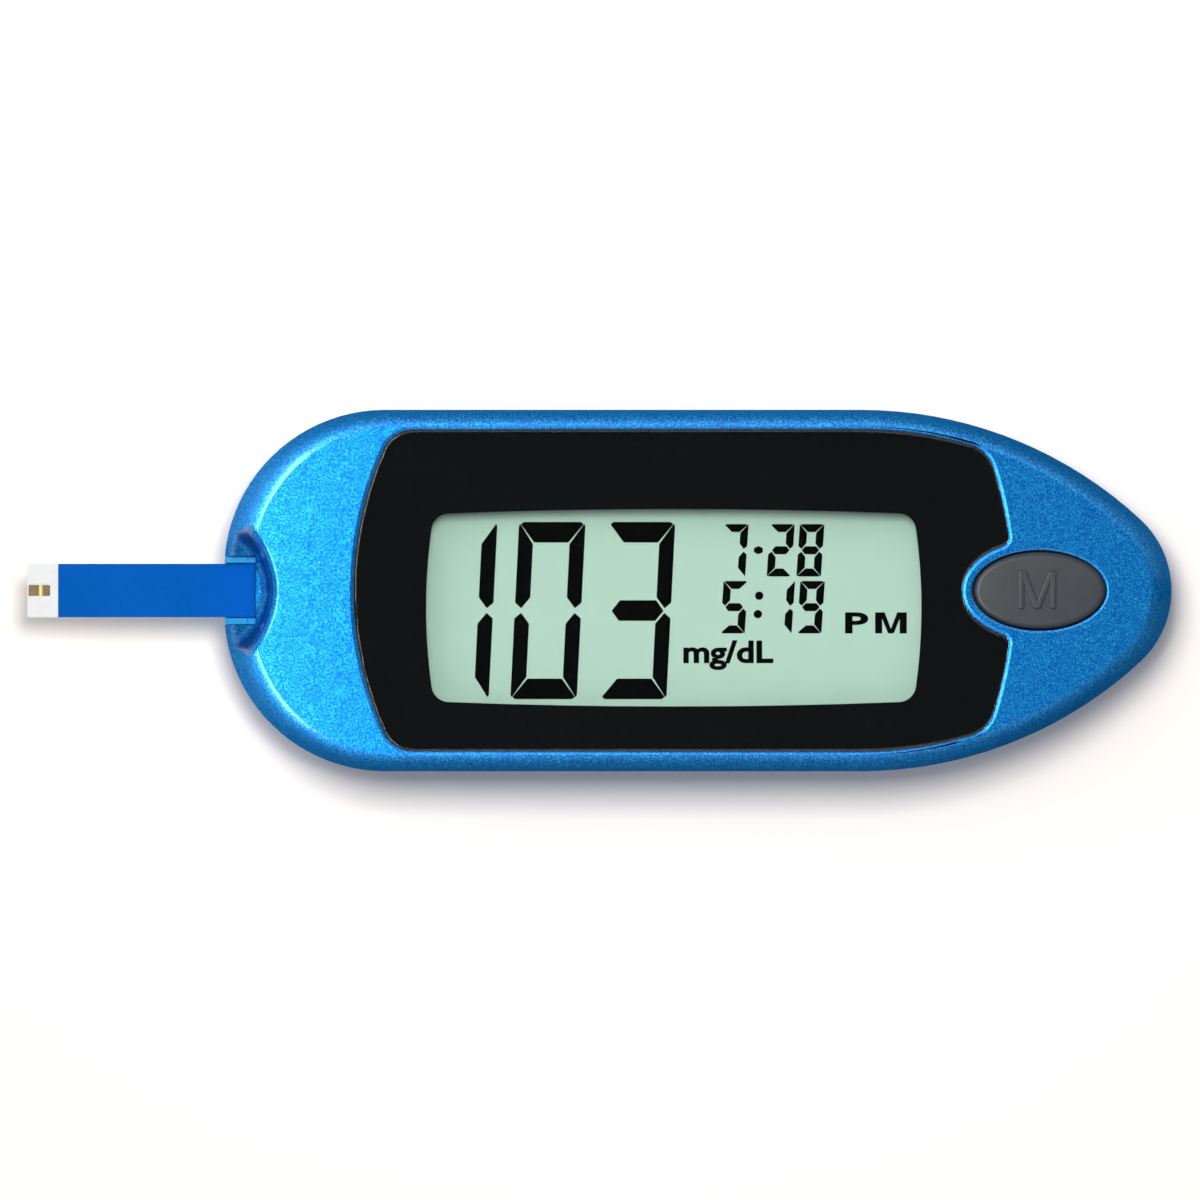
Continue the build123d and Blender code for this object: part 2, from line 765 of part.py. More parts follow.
with BuildPart() as lcd_holder:
    with BuildSketch(Plane.XY.offset(board_top)):
        with Locations((window_x, window_y)):
            RectangleRounded(holder_length, holder_height, window_corner)
        add(leaning_face(wall + 2 * fit_gap, glass_top), mode=Mode.INTERSECT)
    extrude(amount=glass_top - board_top)
    # seats of the two panes
    with BuildSketch(Plane.XY.offset(front_glass_z)):
        with Locations((window_x, window_y)):
            Rectangle(glass_length + 2 * fit_gap, glass_height + 2 * fit_gap)
    extrude(amount=glass_thickness, mode=Mode.SUBTRACT)
    with BuildSketch(Plane.XY.offset(reflector_z)):
        with Locations((window_x, window_y)):
            Rectangle(rear_glass_length + 2 * fit_gap, rear_glass_height + fit_gap)
    extrude(amount=front_glass_z - reflector_z, mode=Mode.SUBTRACT)
    # slots of the contact strips
    with BuildSketch(Plane.XY.offset(board_top)):
        with Locations(*zebra_points):
            Rectangle(zebra_length + 2 * fit_gap, zebra_width + fit_gap)
    extrude(amount=glass_top - board_top, mode=Mode.SUBTRACT)
    # room for the components under the floor
    with BuildSketch(Plane.XY.offset(board_top)):
        with Locations((window_x, window_y)):
            Rectangle(rear_glass_length, rear_glass_height - holder_wall)
    extrude(amount=component_room, mode=Mode.SUBTRACT)
    # locating pegs through the board
    with BuildSketch(Plane.XY.offset(board_z)):
        with Locations(*peg_points):
            Circle(peg_radius)
    extrude(amount=board_thickness)
finish(lcd_holder, "lcd_holder")

with BuildPart() as zebra_strips:
    with BuildSketch(Plane.XY.offset(board_top)):
        with Locations(*zebra_points):
            Rectangle(zebra_length, zebra_width)
    extrude(amount=front_glass_z - board_top)
finish(zebra_strips, "zebra_strips")

# ================================================================ board and its components
with BuildPart() as main_board:
    with BuildSketch(Plane.XY.offset(board_z)):
        add(case_face(wall + board_edge_gap))
        with Locations((board_x0, 0)):
            Rectangle(port_depth, case_width, align=(Align.MAX, Align.CENTER), mode=Mode.SUBTRACT)
        with Locations(*boss_points):
            Circle(screw_radius + fit_gap, mode=Mode.SUBTRACT)
        with Locations(*peg_points):
            Circle(peg_radius + fit_gap / 2, mode=Mode.SUBTRACT)
    extrude(amount=board_thickness)
finish(main_board, "main_board")


def chip(x, y, length, width, leads, pitch):
    """A moulded chip on the board's upper face with a row of leads on two opposite sides."""
    with BuildPart() as body:
        with BuildSketch(Plane.XY.offset(board_top + lead_thickness)):
            with Locations((x, y)):
                Rectangle(length, width)
        extrude(amount=chip_height - lead_thickness)
        chamfer(body.faces().sort_by(Axis.Z)[-1].edges(), lead_thickness)
        with BuildSketch(Plane.XY.offset(board_top)):
            with Locations((x, y)):
                with GridLocations(pitch, width + 2 * lead_reach, leads, 2):
                    Rectangle(pitch / 2, lead_length)
        extrude(amount=2 * lead_thickness)
    return body


microcontroller = chip(
    board_left + controller_from_edge,
    window_y + controller_rise,
    controller_length,
    controller_width,
    controller_lead_count,
    controller_pitch,
)
finish(microcontroller, "microcontroller")
analog_front_end = chip(
    board_left + front_end_from_edge,
    window_y + front_end_rise,
    front_end_length,
    front_end_width,
    front_end_lead_count,
    front_end_pitch,
)
finish(analog_front_end, "analog_front_end")
memory_chip = chip(
    board_left + memory_from_edge,
    window_y + memory_rise,
    memory_length,
    memory_width,
    memory_lead_count,
    memory_pitch,
)
finish(memory_chip, "memory_chip")

crystal_x = board_left + crystal_from_edge
crystal_y = window_y - crystal_drop
with BuildPart() as clock_crystal:
    with BuildSketch(Plane.YZ.offset(crystal_x)):
        with Locations((crystal_y, board_top + crystal_radius + face_gap)):
            Circle(crystal_radius)
    extrude(amount=crystal_length)
    with BuildSketch(Plane.XY.offset(board_top)):
        with Locations((crystal_x + crystal_length / 2, crystal_y)):
            Rectangle(crystal_foot, 2 * crystal_radius)
    extrude(amount=crystal_radius)
finish(clock_crystal, "clock_crystal")

with BuildPart() as chip_resistors_and_capacitors:
    with BuildSketch(Plane.XY.offset(board_top)):
        with Locations((board_left + row_from_edge, window_y - row_drop)):
            with GridLocations(chip_part_pitch, chip_part_row_pitch, row_part_count, 2):
                Rectangle(chip_part_length, chip_part_width)
        with Locations((board_left + block_from_edge, window_y)):
            with GridLocations(chip_part_pitch, chip_part_row_pitch, block_column_count, block_row_count):
                Rectangle(chip_part_length, chip_part_width)
    extrude(amount=chip_part_height)
finish(chip_resistors_and_capacitors, "chip_resistors_and_capacitors")

with BuildPart() as buzzer:
    with BuildSketch(Plane.XY.offset(board_z - buzzer_height)):
        with Locations((buzzer_x, 0)):
            Circle(buzzer_radius)
            Circle(buzzer_hole_radius, mode=Mode.SUBTRACT)
    extrude(amount=buzzer_height - buzzer_lid)
    with BuildSketch(Plane.XY.offset(board_z - buzzer_lid)):
        with Locations((buzzer_x, 0)):
            Circle(buzzer_radius)
    extrude(amount=buzzer_lid)
    outer_rim = buzzer.faces().sort_by(Axis.Z)[0].edges().sort_by(SortBy.LENGTH)[-1]
    fillet(outer_rim, buzzer_edge_radius)
finish(buzzer, "buzzer")

# ================================================================ memory key and its switch
with BuildPart() as memory_switch_body:
    with BuildSketch(Plane.XY.offset(board_top)):
        with Locations((key_x, 0)):
            RectangleRounded(switch_size, switch_size, switch_corner)
    extrude(amount=switch_height)
    with BuildSketch(Plane.XY.offset(board_top + switch_base)):
        with Locations((key_x, 0)):
            Circle(plunger_radius + plunger_gap)
    extrude(amount=switch_height, mode=Mode.SUBTRACT)
finish(memory_switch_body, "memory_switch_body")

with BuildPart() as memory_switch_plunger:
    with BuildSketch(Plane.XY.offset(plunger_z)):
        with Locations((key_x, 0)):
            Circle(plunger_radius)
    extrude(amount=stem_z - plunger_z)
finish(memory_switch_plunger, "memory_switch_plunger")

key_flange_z = ceiling_z - face_gap - key_flange_thickness
key_top = face_z - key_x**2 / (2 * crown_radius) + key_proud
with BuildPart() as memory_key:
    with BuildSketch(Plane.XY.offset(key_flange_z)):
        with Locations((key_x, 0)):
            Ellipse(key_half_length, key_half_width)
    extrude(amount=key_top + 1 - key_flange_z)
    with Locations((key_x, 0, key_top - key_crown_radius)):
        Sphere(key_crown_radius, mode=Mode.INTERSECT)
    fillet(memory_key.faces().sort_by(Axis.Z)[-1].edges(), key_edge_radius)
    with BuildSketch(Plane.XY.offset(key_flange_z)):
        with Locations((key_x, 0)):
            Ellipse(key_half_length + key_flange_reach, key_half_width + key_flange_reach)
    extrude(amount=key_flange_thickness)
    with BuildSketch(Plane.XY.offset(stem_z)):
        with Locations((key_x, 0)):
            Circle(key_stem_radius)
    extrude(amount=key_flange_z - stem_z)
finish(memory_key, "memory_key")

# ================================================================ setting key and its switch
with BuildPart() as set_switch_body:
    with BuildSketch(Plane.XY.offset(set_switch_z)):
        with Locations((set_key_x, set_key_y)):
            RectangleRounded(set_switch_size, set_switch_size, switch_corner)
            Circle(set_plunger_radius + plunger_gap, mode=Mode.SUBTRACT)
    extrude(amount=set_switch_height - set_switch_base)
    with BuildSketch(Plane.XY.offset(board_z - set_switch_base)):
        with Locations((set_key_x, set_key_y)):
            RectangleRounded(set_switch_size, set_switch_size, switch_corner)
    extrude(amount=set_switch_base)
finish(set_switch_body, "set_switch_body")

with BuildPart() as set_switch_plunger:
    with BuildSketch(Plane.XY.offset(set_flange_top)):
        with Locations((set_key_x, set_key_y)):
            Circle(set_plunger_radius)
    extrude(amount=board_z - set_switch_base - set_key_travel - set_key_slack - set_flange_top)
finish(set_switch_plunger, "set_switch_plunger")

with BuildPart() as set_key:
    with BuildSketch(Plane.XY.offset(set_flange_z - set_key_length)):
        with Locations((set_key_x, set_key_y)):
            Circle(set_key_radius)
    extrude(amount=set_key_length)
    fillet(set_key.faces().sort_by(Axis.Z)[0].edges(), set_key_edge)
    with BuildSketch(Plane.XY.offset(set_flange_z)):
        with Locations((set_key_x, set_key_y)):
            Circle(set_key_flange_radius)
    extrude(amount=set_key_flange)
finish(set_key, "set_key")

# ================================================================ coin cell, contacts and door
with BuildPart() as battery_can:
    with BuildSketch(Plane.XY.offset(cell_z)):
        with Locations((cell_x, 0)):
            Circle(cell_radius)
    extrude(amount=cell_height - cap_step)
    fillet(battery_can.edges(), cell_edge_radius)
    with BuildSketch(Plane.XY.offset(cell_z + can_thickness)):
        with Locations((cell_x, 0)):
            Circle(cap_radius + seal_width)
    extrude(amount=cell_height, mode=Mode.SUBTRACT)
finish(battery_can, "battery_can")

with BuildPart() as battery_seal:
    with BuildSketch(Plane.XY.offset(cell_z + can_thickness)):
        with Locations((cell_x, 0)):
            Circle(cap_radius + seal_width)
            Circle(cap_radius, mode=Mode.SUBTRACT)
    extrude(amount=cell_height - cap_step - can_thickness)
finish(battery_seal, "battery_seal")

with BuildPart() as battery_cathode:
    with BuildSketch(Plane.XY.offset(cell_z + can_thickness)):
        with Locations((cell_x, 0)):
            Circle(cap_radius - can_thickness - fit_gap)
    extrude(amount=cathode_height)
finish(battery_cathode, "battery_cathode")

with BuildPart() as battery_lithium:
    with BuildSketch(Plane.XY.offset(cell_z + cell_height - can_thickness - lithium_height)):
        with Locations((cell_x, 0)):
            Circle(cap_radius - can_thickness - fit_gap)
    extrude(amount=lithium_height)
finish(battery_lithium, "battery_lithium")

with BuildPart() as battery_cap:
    with BuildSketch(Plane.XY.offset(cell_z + can_thickness + fit_gap)):
        with Locations((cell_x, 0)):
            Circle(cap_radius)
    extrude(amount=cell_height - can_thickness - fit_gap)
    fillet(battery_cap.faces().sort_by(Axis.Z)[-1].edges(), cap_edge_radius)
    with BuildSketch(Plane.XY.offset(cell_z)):
        with Locations((cell_x, 0)):
            Circle(cap_radius - can_thickness)
    extrude(amount=cell_height - can_thickness, mode=Mode.SUBTRACT)
finish(battery_cap, "battery_cap")


def bent_leaf(points, thickness, width):
    """A strip of spring metal bent through points in the XZ plane, each a pair (x, z)."""
    with BuildPart() as leaf:
        with BuildSketch(Plane.XZ):
            for (x0, z0), (x1, z1) in zip(points, points[1:]):
                with Locations(((x0 + x1) / 2, (z0 + z1) / 2)):
                    SlotCenterToCenter(
                        hypot(x1 - x0, z1 - z0),
                        thickness,
                        rotation=degrees(atan2(z1 - z0, x1 - x0)),
                    )
        extrude(amount=width / 2, both=True)
    return leaf


leaf_z = bay_roof_z - leg_thickness / 2 - leg_gap
battery_contact_positive = bent_leaf(
    [
        (positive_leg_x - positive_foot_out, cell_z + positive_foot_z),
        (positive_leg_x, cell_z + positive_knee_z),
        (positive_leg_x, board_z - leg_thickness / 2),
    ],
    leg_thickness,
    leg_width,
)
finish(battery_contact_positive, "battery_contact_positive")
battery_contact_negative = bent_leaf(
    [
        (cell_x - negative_leaf_reach, leaf_z),
        (cell_x - negative_leaf_reach + negative_leaf_tip, leaf_z),
        (negative_leg_x, leaf_z),
        (negative_leg_x, board_z - leg_thickness / 2),
    ],
    leg_thickness,
    leg_width,
)
finish(battery_contact_negative, "battery_contact_negative")

# ================================================================ battery door
door_left = pocket_x0 + door_gap
door_half_width = pocket_half_width - door_gap
tab_z = floor_thickness + fit_gap
with BuildPart() as battery_door:
    with BuildSketch(Plane.XY.offset(door_recess)) as plate:
        with Locations((door_left, 0)):
            Rectangle(hinge_x - door_left, 2 * door_half_width, align=(Align.MIN, Align.CENTER))
        fillet(plate.vertices().group_by(Axis.X)[0], door_corner - door_gap)
    extrude(amount=door_thickness)
    # rounded hinge edge
    with Locations(Location((hinge_x, 0, hinge_z), (90, 0, 0))):
        Cylinder(hinge_radius, 2 * door_half_width)
    # hook tabs that reach over the edge of the floor
    for side in (-1, 1):
        with BuildSketch(Plane.XZ.offset(side * tab_y)):
            with Locations((hinge_x - tab_thickness, hinge_z)):
                Rectangle(tab_thickness, tab_z + tab_thickness - hinge_z, align=Align.MIN)
            with Locations((hinge_x - tab_thickness, tab_z)):
                Rectangle(tab_thickness + tab_reach, tab_thickness, align=Align.MIN)
        extrude(amount=tab_width / 2, both=True)
    # latch tongue
    with BuildSketch(Plane.XY.offset(door_top)):
        with Locations((bay_x0 + door_gap, 0)):
            Rectangle(latch_thickness, latch_width, align=(Align.MIN, Align.CENTER))
    extrude(amount=latch_height)
    # grip grooves
    with BuildSketch(Plane.XY.offset(door_recess)):
        with Locations((door_left + grip_inset, 0)):
            with GridLocations(grip_pitch, 1, grip_count, 1):
                SlotOverall(grip_length, grip_width, rotation=90)
    extrude(amount=grip_depth, mode=Mode.SUBTRACT)
finish(battery_door, "battery_door")

# ================================================================ fasteners and label
with BuildPart() as case_screws:
    with BuildSketch(Plane.XY.offset(screw_head_z)):
        with Locations(*boss_points):
            Circle(screw_head_radius)
    extrude(amount=screw_head_height)
    fillet(case_screws.faces().group_by(Axis.Z)[0].edges(), screw_head_edge)
    with BuildSketch(Plane.XY.offset(screw_seat_z)):
        with Locations(*boss_points):
            Circle(screw_radius)
    extrude(amount=board_top + screw_bite - screw_seat_z)
    with BuildSketch(Plane.XY.offset(screw_head_z)):
        with Locations(*boss_points):
            Rectangle(2 * screw_radius, cross_slot)
            Rectangle(cross_slot, 2 * screw_radius)
    extrude(amount=screw_head_height / 2, mode=Mode.SUBTRACT)
finish(case_screws, "case_screws")

with BuildPart() as rear_label:
    with BuildSketch(Plane.XY.offset(label_recess - label_sheet)):
        with Locations((label_x, 0)):
            RectangleRounded(label_length, label_height, label_corner)
    extrude(amount=label_sheet)
finish(rear_label, "rear_label")

# ================================================================ strip port and connector
guide_x0 = end_x + door_gap
guide_x1 = board_x0 - door_gap
tray_top = scoop_floor_z - guide_ledge
guide_width = port_width - fit_gap
channel_width = strip_width + 2 * strip_gap
with BuildPart() as strip_port_guide:
    with BuildSketch(Plane.XY.offset(strip_z - guide_root)):
        with Locations((guide_x0, 0)):
            Rectangle(guide_x1 - guide_x0, guide_width, align=(Align.MIN, Align.CENTER))
    extrude(amount=tray_top - strip_z + guide_root)
    # ledges fall away towards the slot
    chamfer(strip_port_guide.edges().group_by(Axis.X)[-1].sort_by(Axis.Z)[-1], guide_ledge)
    with BuildSketch(Plane.XY.offset(board_top + face_gap)):
        with Locations((guide_x0, 0)):
            Rectangle(connector_x0 - fit_gap - guide_x0, guide_width, align=(Align.MIN, Align.CENTER))
    extrude(amount=scoop_floor_z - scoop_floor - 2 * face_gap - board_top)
    with BuildSketch(Plane.XY.offset(strip_slot_z)):
        with Locations((guide_x0 - 1, 0)):
            Rectangle(lip_x - guide_x0 + 1, channel_width, align=(Align.MIN, Align.CENTER))
    extrude(amount=scoop_floor_z, mode=Mode.SUBTRACT)
    with BuildSketch(Plane.XY.offset(strip_slot_z)):
        Rectangle(2 * case_length, channel_width)
    extrude(amount=strip_slot_height, mode=Mode.SUBTRACT)
finish(strip_port_guide, "strip_port_guide")

contact_rows = [(j - (contact_count - 1) / 2) * contact_pitch for j in range(contact_count)]
contact_top = slot_z + connector_slot_roof + contact_lift
with BuildPart() as strip_connector_housing:
    with BuildSketch(Plane.XY.offset(board_top)):
        with Locations((connector_x0, 0)):
            Rectangle(
                connector_x1 - connector_x0, connector_width, align=(Align.MIN, Align.CENTER)
            )
    extrude(amount=connector_height)
    chamfer(strip_connector_housing.faces().sort_by(Axis.Z)[-1].edges(), connector_chamfer)
    with BuildSketch(Plane.XY.offset(slot_z)):
        with Locations((connector_x0, 0)):
            Rectangle(2 * (strip_end_x + strip_gap - connector_x0), channel_width)
    extrude(amount=connector_slot_roof, mode=Mode.SUBTRACT)
    # channels that hold the spring contacts, open at the back
    with BuildSketch(Plane.XY.offset(slot_z + connector_slot_roof / 2)):
        with Locations(*[(connector_x0 + contact_channel_from_front, y) for y in contact_rows]):
            Rectangle(
                connector_x1 - connector_x0,
                contact_width + 2 * fit_gap,
                align=(Align.MIN, Align.CENTER),
            )
    channel_top = contact_top + contact_thickness
    extrude(amount=channel_top - slot_z - connector_slot_roof / 2, mode=Mode.SUBTRACT)
finish(strip_connector_housing, "strip_connector_housing")

tail_x = connector_x1 + contact_thickness
touch_z = strip_z + strip_base_thickness + electrode_thickness + fit_gap + contact_thickness / 2
contact = bent_leaf(
    [
        (tail_x + contact_tail, board_top + contact_thickness / 2),
        (tail_x, board_top + contact_thickness / 2),
        (tail_x, contact_top),
        (strip_end_x - contact_bend_from_end, contact_top),
        (connector_x0 + contact_touch_from_front, touch_z),
        (connector_x0 + contact_tip_from_front, touch_z + contact_tip_rise),
    ],
    contact_thickness,
    contact_width,
)
with BuildPart() as strip_connector_contacts:
    for y in contact_rows:
        add(contact.part.moved(Location((0, y, 0))))
finish(strip_connector_contacts, "strip_connector_contacts")

# ================================================================ test strip
electrode_z = strip_z + strip_base_thickness
spacer_z = electrode_z + electrode_thickness
window_film_z = spacer_z + spacer_thickness
strip_label_z = window_film_z + film_thickness


def strip_layer(x0, x1, width, bottom, thickness):
    """One flat layer of the strip, from x0 to x1 on the strip's long axis."""
    with BuildPart() as layer:
        with BuildSketch(Plane.XY.offset(bottom)):
            with Locations((x0, 0)):
                Rectangle(x1 - x0, width, align=(Align.MIN, Align.CENTER))
        extrude(amount=thickness)
    return layer


strip_base = strip_layer(strip_tip_x, strip_end_x, strip_width, strip_z, strip_base_thickness)
finish(strip_base, "strip_base")

with BuildPart() as strip_electrodes:
    with BuildSketch(Plane.XY.offset(electrode_z)):
        with Locations(*[(strip_tip_x + track_inset, y) for y in contact_rows]):
            Rectangle(
                strip_end_x - strip_tip_x - 2 * track_inset,
                track_width,
                align=(Align.MIN, Align.CENTER),
            )
    extrude(amount=electrode_thickness)
finish(strip_electrodes, "strip_electrodes")

with BuildPart() as strip_spacer:
    with BuildSketch(Plane.XY.offset(spacer_z)):
        with Locations((strip_tip_x, 0)):
            Rectangle(cover_end_x - strip_tip_x, strip_width, align=(Align.MIN, Align.CENTER))
            Rectangle(2 * channel_length, sample_width, mode=Mode.SUBTRACT)
    extrude(amount=spacer_thickness)
finish(strip_spacer, "strip_spacer")

strip_reagent = strip_layer(
    strip_tip_x + fit_gap,
    strip_tip_x + channel_length - fit_gap,
    sample_width - fit_gap,
    spacer_z,
    spacer_thickness / 2,
)
finish(strip_reagent, "strip_reagent")
strip_window = strip_layer(strip_tip_x, cover_end_x, strip_width, window_film_z, film_thickness)
finish(strip_window, "strip_window")
strip_label = strip_layer(
    strip_tip_x + clear_tip, cover_end_x, strip_width, strip_label_z, label_thickness
)
finish(strip_label, "strip_label")
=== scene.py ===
import json
import math

import bpy
from mathutils import Matrix
from mathutils import Vector


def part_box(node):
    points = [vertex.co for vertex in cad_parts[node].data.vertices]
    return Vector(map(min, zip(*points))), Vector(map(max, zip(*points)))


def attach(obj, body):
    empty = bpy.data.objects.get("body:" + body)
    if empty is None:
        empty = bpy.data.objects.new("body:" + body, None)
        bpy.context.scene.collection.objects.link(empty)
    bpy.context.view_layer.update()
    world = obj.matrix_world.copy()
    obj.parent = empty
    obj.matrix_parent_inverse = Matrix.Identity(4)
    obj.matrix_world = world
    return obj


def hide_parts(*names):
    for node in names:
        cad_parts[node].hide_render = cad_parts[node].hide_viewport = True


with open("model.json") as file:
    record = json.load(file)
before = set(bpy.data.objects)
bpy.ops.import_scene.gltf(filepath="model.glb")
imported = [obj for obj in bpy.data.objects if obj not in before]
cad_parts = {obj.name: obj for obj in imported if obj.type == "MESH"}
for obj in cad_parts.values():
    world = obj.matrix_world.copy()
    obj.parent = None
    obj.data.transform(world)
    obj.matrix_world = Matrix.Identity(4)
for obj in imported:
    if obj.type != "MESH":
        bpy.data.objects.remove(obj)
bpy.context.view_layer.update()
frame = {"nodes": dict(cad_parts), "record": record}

MM = 0.001
nodes = frame["nodes"]


# ---- Finishes ----

def linear(shade):
    """An sRGB hex shade as a linear colour."""
    parts = [int(shade[i:i + 2], 16) / 255 for i in (1, 3, 5)]
    return [c / 12.92 if c <= 0.04045 else ((c + 0.055) / 1.055) ** 2.4 for c in parts] + [1.0]


def per_mm(size):
    """The scale at which one cell of a pattern is that many millimetres."""
    return 1 / (size * MM)


def add(tree, kind, settings=None, **inputs):
    """A node with its settings, its ramp's stops, and its inputs: values, or sockets to link from."""
    made = tree.nodes.new(kind)
    for name, value in (settings or {}).items():
        if name == "stops":
            ramp = made.color_ramp
            for place, colour in value[1:-1]:
                ramp.elements.new(place).color = colour
            for element, (place, colour) in ((ramp.elements[0], value[0]), (ramp.elements[-1], value[-1])):
                element.position = place
                element.color = colour
        else:
            setattr(made, name, value)
    for name, value in inputs.items():
        key = int(name[1:]) if name[0] == "i" and name[1:].isdigit() else name.replace("_", " ")
        if isinstance(value, bpy.types.NodeSocket):
            tree.links.new(value, made.inputs[key])
        else:
            made.inputs[key].default_value = value
    return made


def new_finish(name):
    """An empty material with its node tree, and Object coordinates to lay patterns by."""
    finish = bpy.data.materials.new(name)
    finish.use_nodes = True
    tree = finish.node_tree
    tree.nodes.clear()
    place = add(tree, "ShaderNodeTexCoord").outputs["Object"]
    return finish, tree, place


def grey(level):
    return [level, level, level, 1.0]


def moulded(name, dark, light, grain, rough, relief=0.004, stretch=(1, 1, 1), **shader):
    """A finish whose colour, roughness and surface all vary with one grain, in millimetres."""
    finish, tree, place = new_finish(name)
    laid = add(tree, "ShaderNodeMapping", Vector=place, Scale=stretch).outputs[0]
    speck = add(tree, "ShaderNodeTexNoise", Vector=laid, Scale=per_mm(grain), Detail=3.0,
                Roughness=0.6).outputs[0]
    cloud = add(tree, "ShaderNodeTexNoise", Vector=laid, Scale=per_mm(grain * 14), Detail=2.0).outputs[0]
    both = add(tree, "ShaderNodeMix", None, i0=0.35, i2=speck, i3=cloud).outputs[0]
    colour = add(tree, "ShaderNodeValToRGB", {"stops": [(0.3, linear(dark)), (0.7, linear(light))]},
                 Fac=both).outputs[0]
    gloss = add(tree, "ShaderNodeMapRange", None, Value=both, i1=0.3, i2=0.7, i3=rough[0],
                i4=rough[1]).outputs[0]
    surface = add(tree, "ShaderNodeBump", None, Height=speck, Strength=0.25, Distance=relief * MM).outputs[0]
    skin = add(tree, "ShaderNodeBsdfPrincipled", None, Base_Color=colour, Roughness=gloss, Normal=surface,
               **shader)
    add(tree, "ShaderNodeOutputMaterial", None, Surface=skin.outputs[0])
    return finish


def metallic_lacquer():
    """Metallic-blue lacquer on moulded ABS: flakes in a deep blue, a few with painted glints, under a clear
    coat.
    """
    finish, tree, place = new_finish("metallic_lacquer_on_abs")
    # flakes of about 0.05 mm are drawn as clumps of 0.2 mm, the smallest that show
    flake = add(tree, "ShaderNodeTexNoise", Vector=place, Scale=per_mm(0.17), Detail=2.0,
                Roughness=0.7).outputs[0]
    cloud = add(tree, "ShaderNodeTexNoise", Vector=place, Scale=per_mm(1.1), Detail=2.0).outputs[0]
    depth = add(tree, "ShaderNodeMix", None, i0=0.1, i2=flake, i3=cloud).outputs[0]
    colour = add(tree, "ShaderNodeValToRGB", {"stops": [
        (0.40, linear("#006CD0")), (0.5, linear("#008EEE")), (0.62, linear("#30C0FF"))]},
        Fac=depth).outputs[0]
    # painted glints: a few flakes, picked at random, are painted light cyan as if they caught the light
    chip = add(tree, "ShaderNodeTexVoronoi", None, Vector=place, Scale=per_mm(0.55), Randomness=1.0)
    painted_glint = add(tree, "ShaderNodeMapRange", None, Value=chip.outputs["Distance"], i1=0.05, i2=0.16, i3=1.0,
                i4=0.0).outputs[0]
    chosen = add(tree, "ShaderNodeSeparateColor", None, Color=chip.outputs["Color"]).outputs[0]
    few = add(tree, "ShaderNodeMath", {"operation": "GREATER_THAN"}, i0=chosen, i1=0.8).outputs[0]
    spark = add(tree, "ShaderNodeMath", {"operation": "MULTIPLY"}, i0=painted_glint, i1=few).outputs[0]
    bright = add(tree, "ShaderNodeMix", {"data_type": "RGBA"}, i0=spark, i6=colour,
                 i7=linear("#8FD6FF")).outputs[2]
    gloss = add(tree, "ShaderNodeMapRange", None, Value=flake, i1=0.3, i2=0.7, i3=0.40, i4=0.32).outputs[0]
    tilt = add(tree, "ShaderNodeBump", None, Height=flake, Strength=0.3, Distance=0.006 * MM).outputs[0]
    skin = add(tree, "ShaderNodeBsdfPrincipled", None, Base_Color=bright, Metallic=0.85, Roughness=gloss,
               Normal=tilt, Specular_Tint=linear("#0A3C80"), Specular_IOR_Level=0.2, Coat_Weight=0.9,
               Coat_Roughness=0.18)
    add(tree, "ShaderNodeOutputMaterial", None, Surface=skin.outputs[0])
    return finish


def clear(name, tint, bend, shine, cloud_mm):
    """A clear finish: lamps light what is behind it, and it keeps its own faint reflections."""
    finish, tree, place = new_finish(name)
    cloud = add(tree, "ShaderNodeTexNoise", Vector=place, Scale=per_mm(cloud_mm), Detail=2.0).outputs[0]
    gloss = add(tree, "ShaderNodeMapRange", None, Value=cloud, i1=0.3, i2=0.7, i3=shine[0],
                i4=shine[1]).outputs[0]
    body = add(tree, "ShaderNodeBsdfPrincipled", None, Base_Color=linear(tint), Roughness=gloss, IOR=bend,
               Transmission_Weight=1.0)
    way = add(tree, "ShaderNodeBsdfTransparent", None, Color=linear(tint))
    ray = add(tree, "ShaderNodeLightPath")
    lamp = add(tree, "ShaderNodeMath", {"operation": "MAXIMUM"}, i0=ray.outputs["Is Shadow Ray"],
               i1=ray.outputs["Is Diffuse Ray"]).outputs[0]
    both = add(tree, "ShaderNodeMixShader", None, i0=lamp, i1=body.outputs[0], i2=way.outputs[0])
    add(tree, "ShaderNodeOutputMaterial", None, Surface=both.outputs[0])
    return finish


def solder_mask():
    """Green solder mask over copper tracks on glass-fibre laminate: the tracks show as lighter lines."""
    finish, tree, place = new_finish("solder_mask_on_laminate")
    turned = add(tree, "ShaderNodeMapping", None, Vector=place, Rotation=(0, 0, math.radians(45))).outputs[0]
    track = add(tree, "ShaderNodeTexBrick", {"offset": 0.5}, Vector=place, Color1=linear("#1E7A4B"),
                Color2=linear("#18683F"), Mortar=linear("#0D4A2B"), Scale=per_mm(1.0), Mortar_Size=0.12,
                Brick_Width=3.6, Row_Height=0.5).outputs[0]
    weave = add(tree, "ShaderNodeTexWave", None, Vector=turned, Scale=per_mm(3.0), Distortion=1.5).outputs[1]
    colour = add(tree, "ShaderNodeMix", {"data_type": "RGBA"}, i0=weave, i6=track,
                 i7=linear("#125C37")).outputs[2]
    surface = add(tree, "ShaderNodeBump", None, Height=weave, Strength=0.2, Distance=0.02 * MM).outputs[0]
    skin = add(tree, "ShaderNodeBsdfPrincipled", None, Base_Color=colour, Roughness=0.35, Normal=surface)
    add(tree, "ShaderNodeOutputMaterial", None, Surface=skin.outputs[0])
    return finish


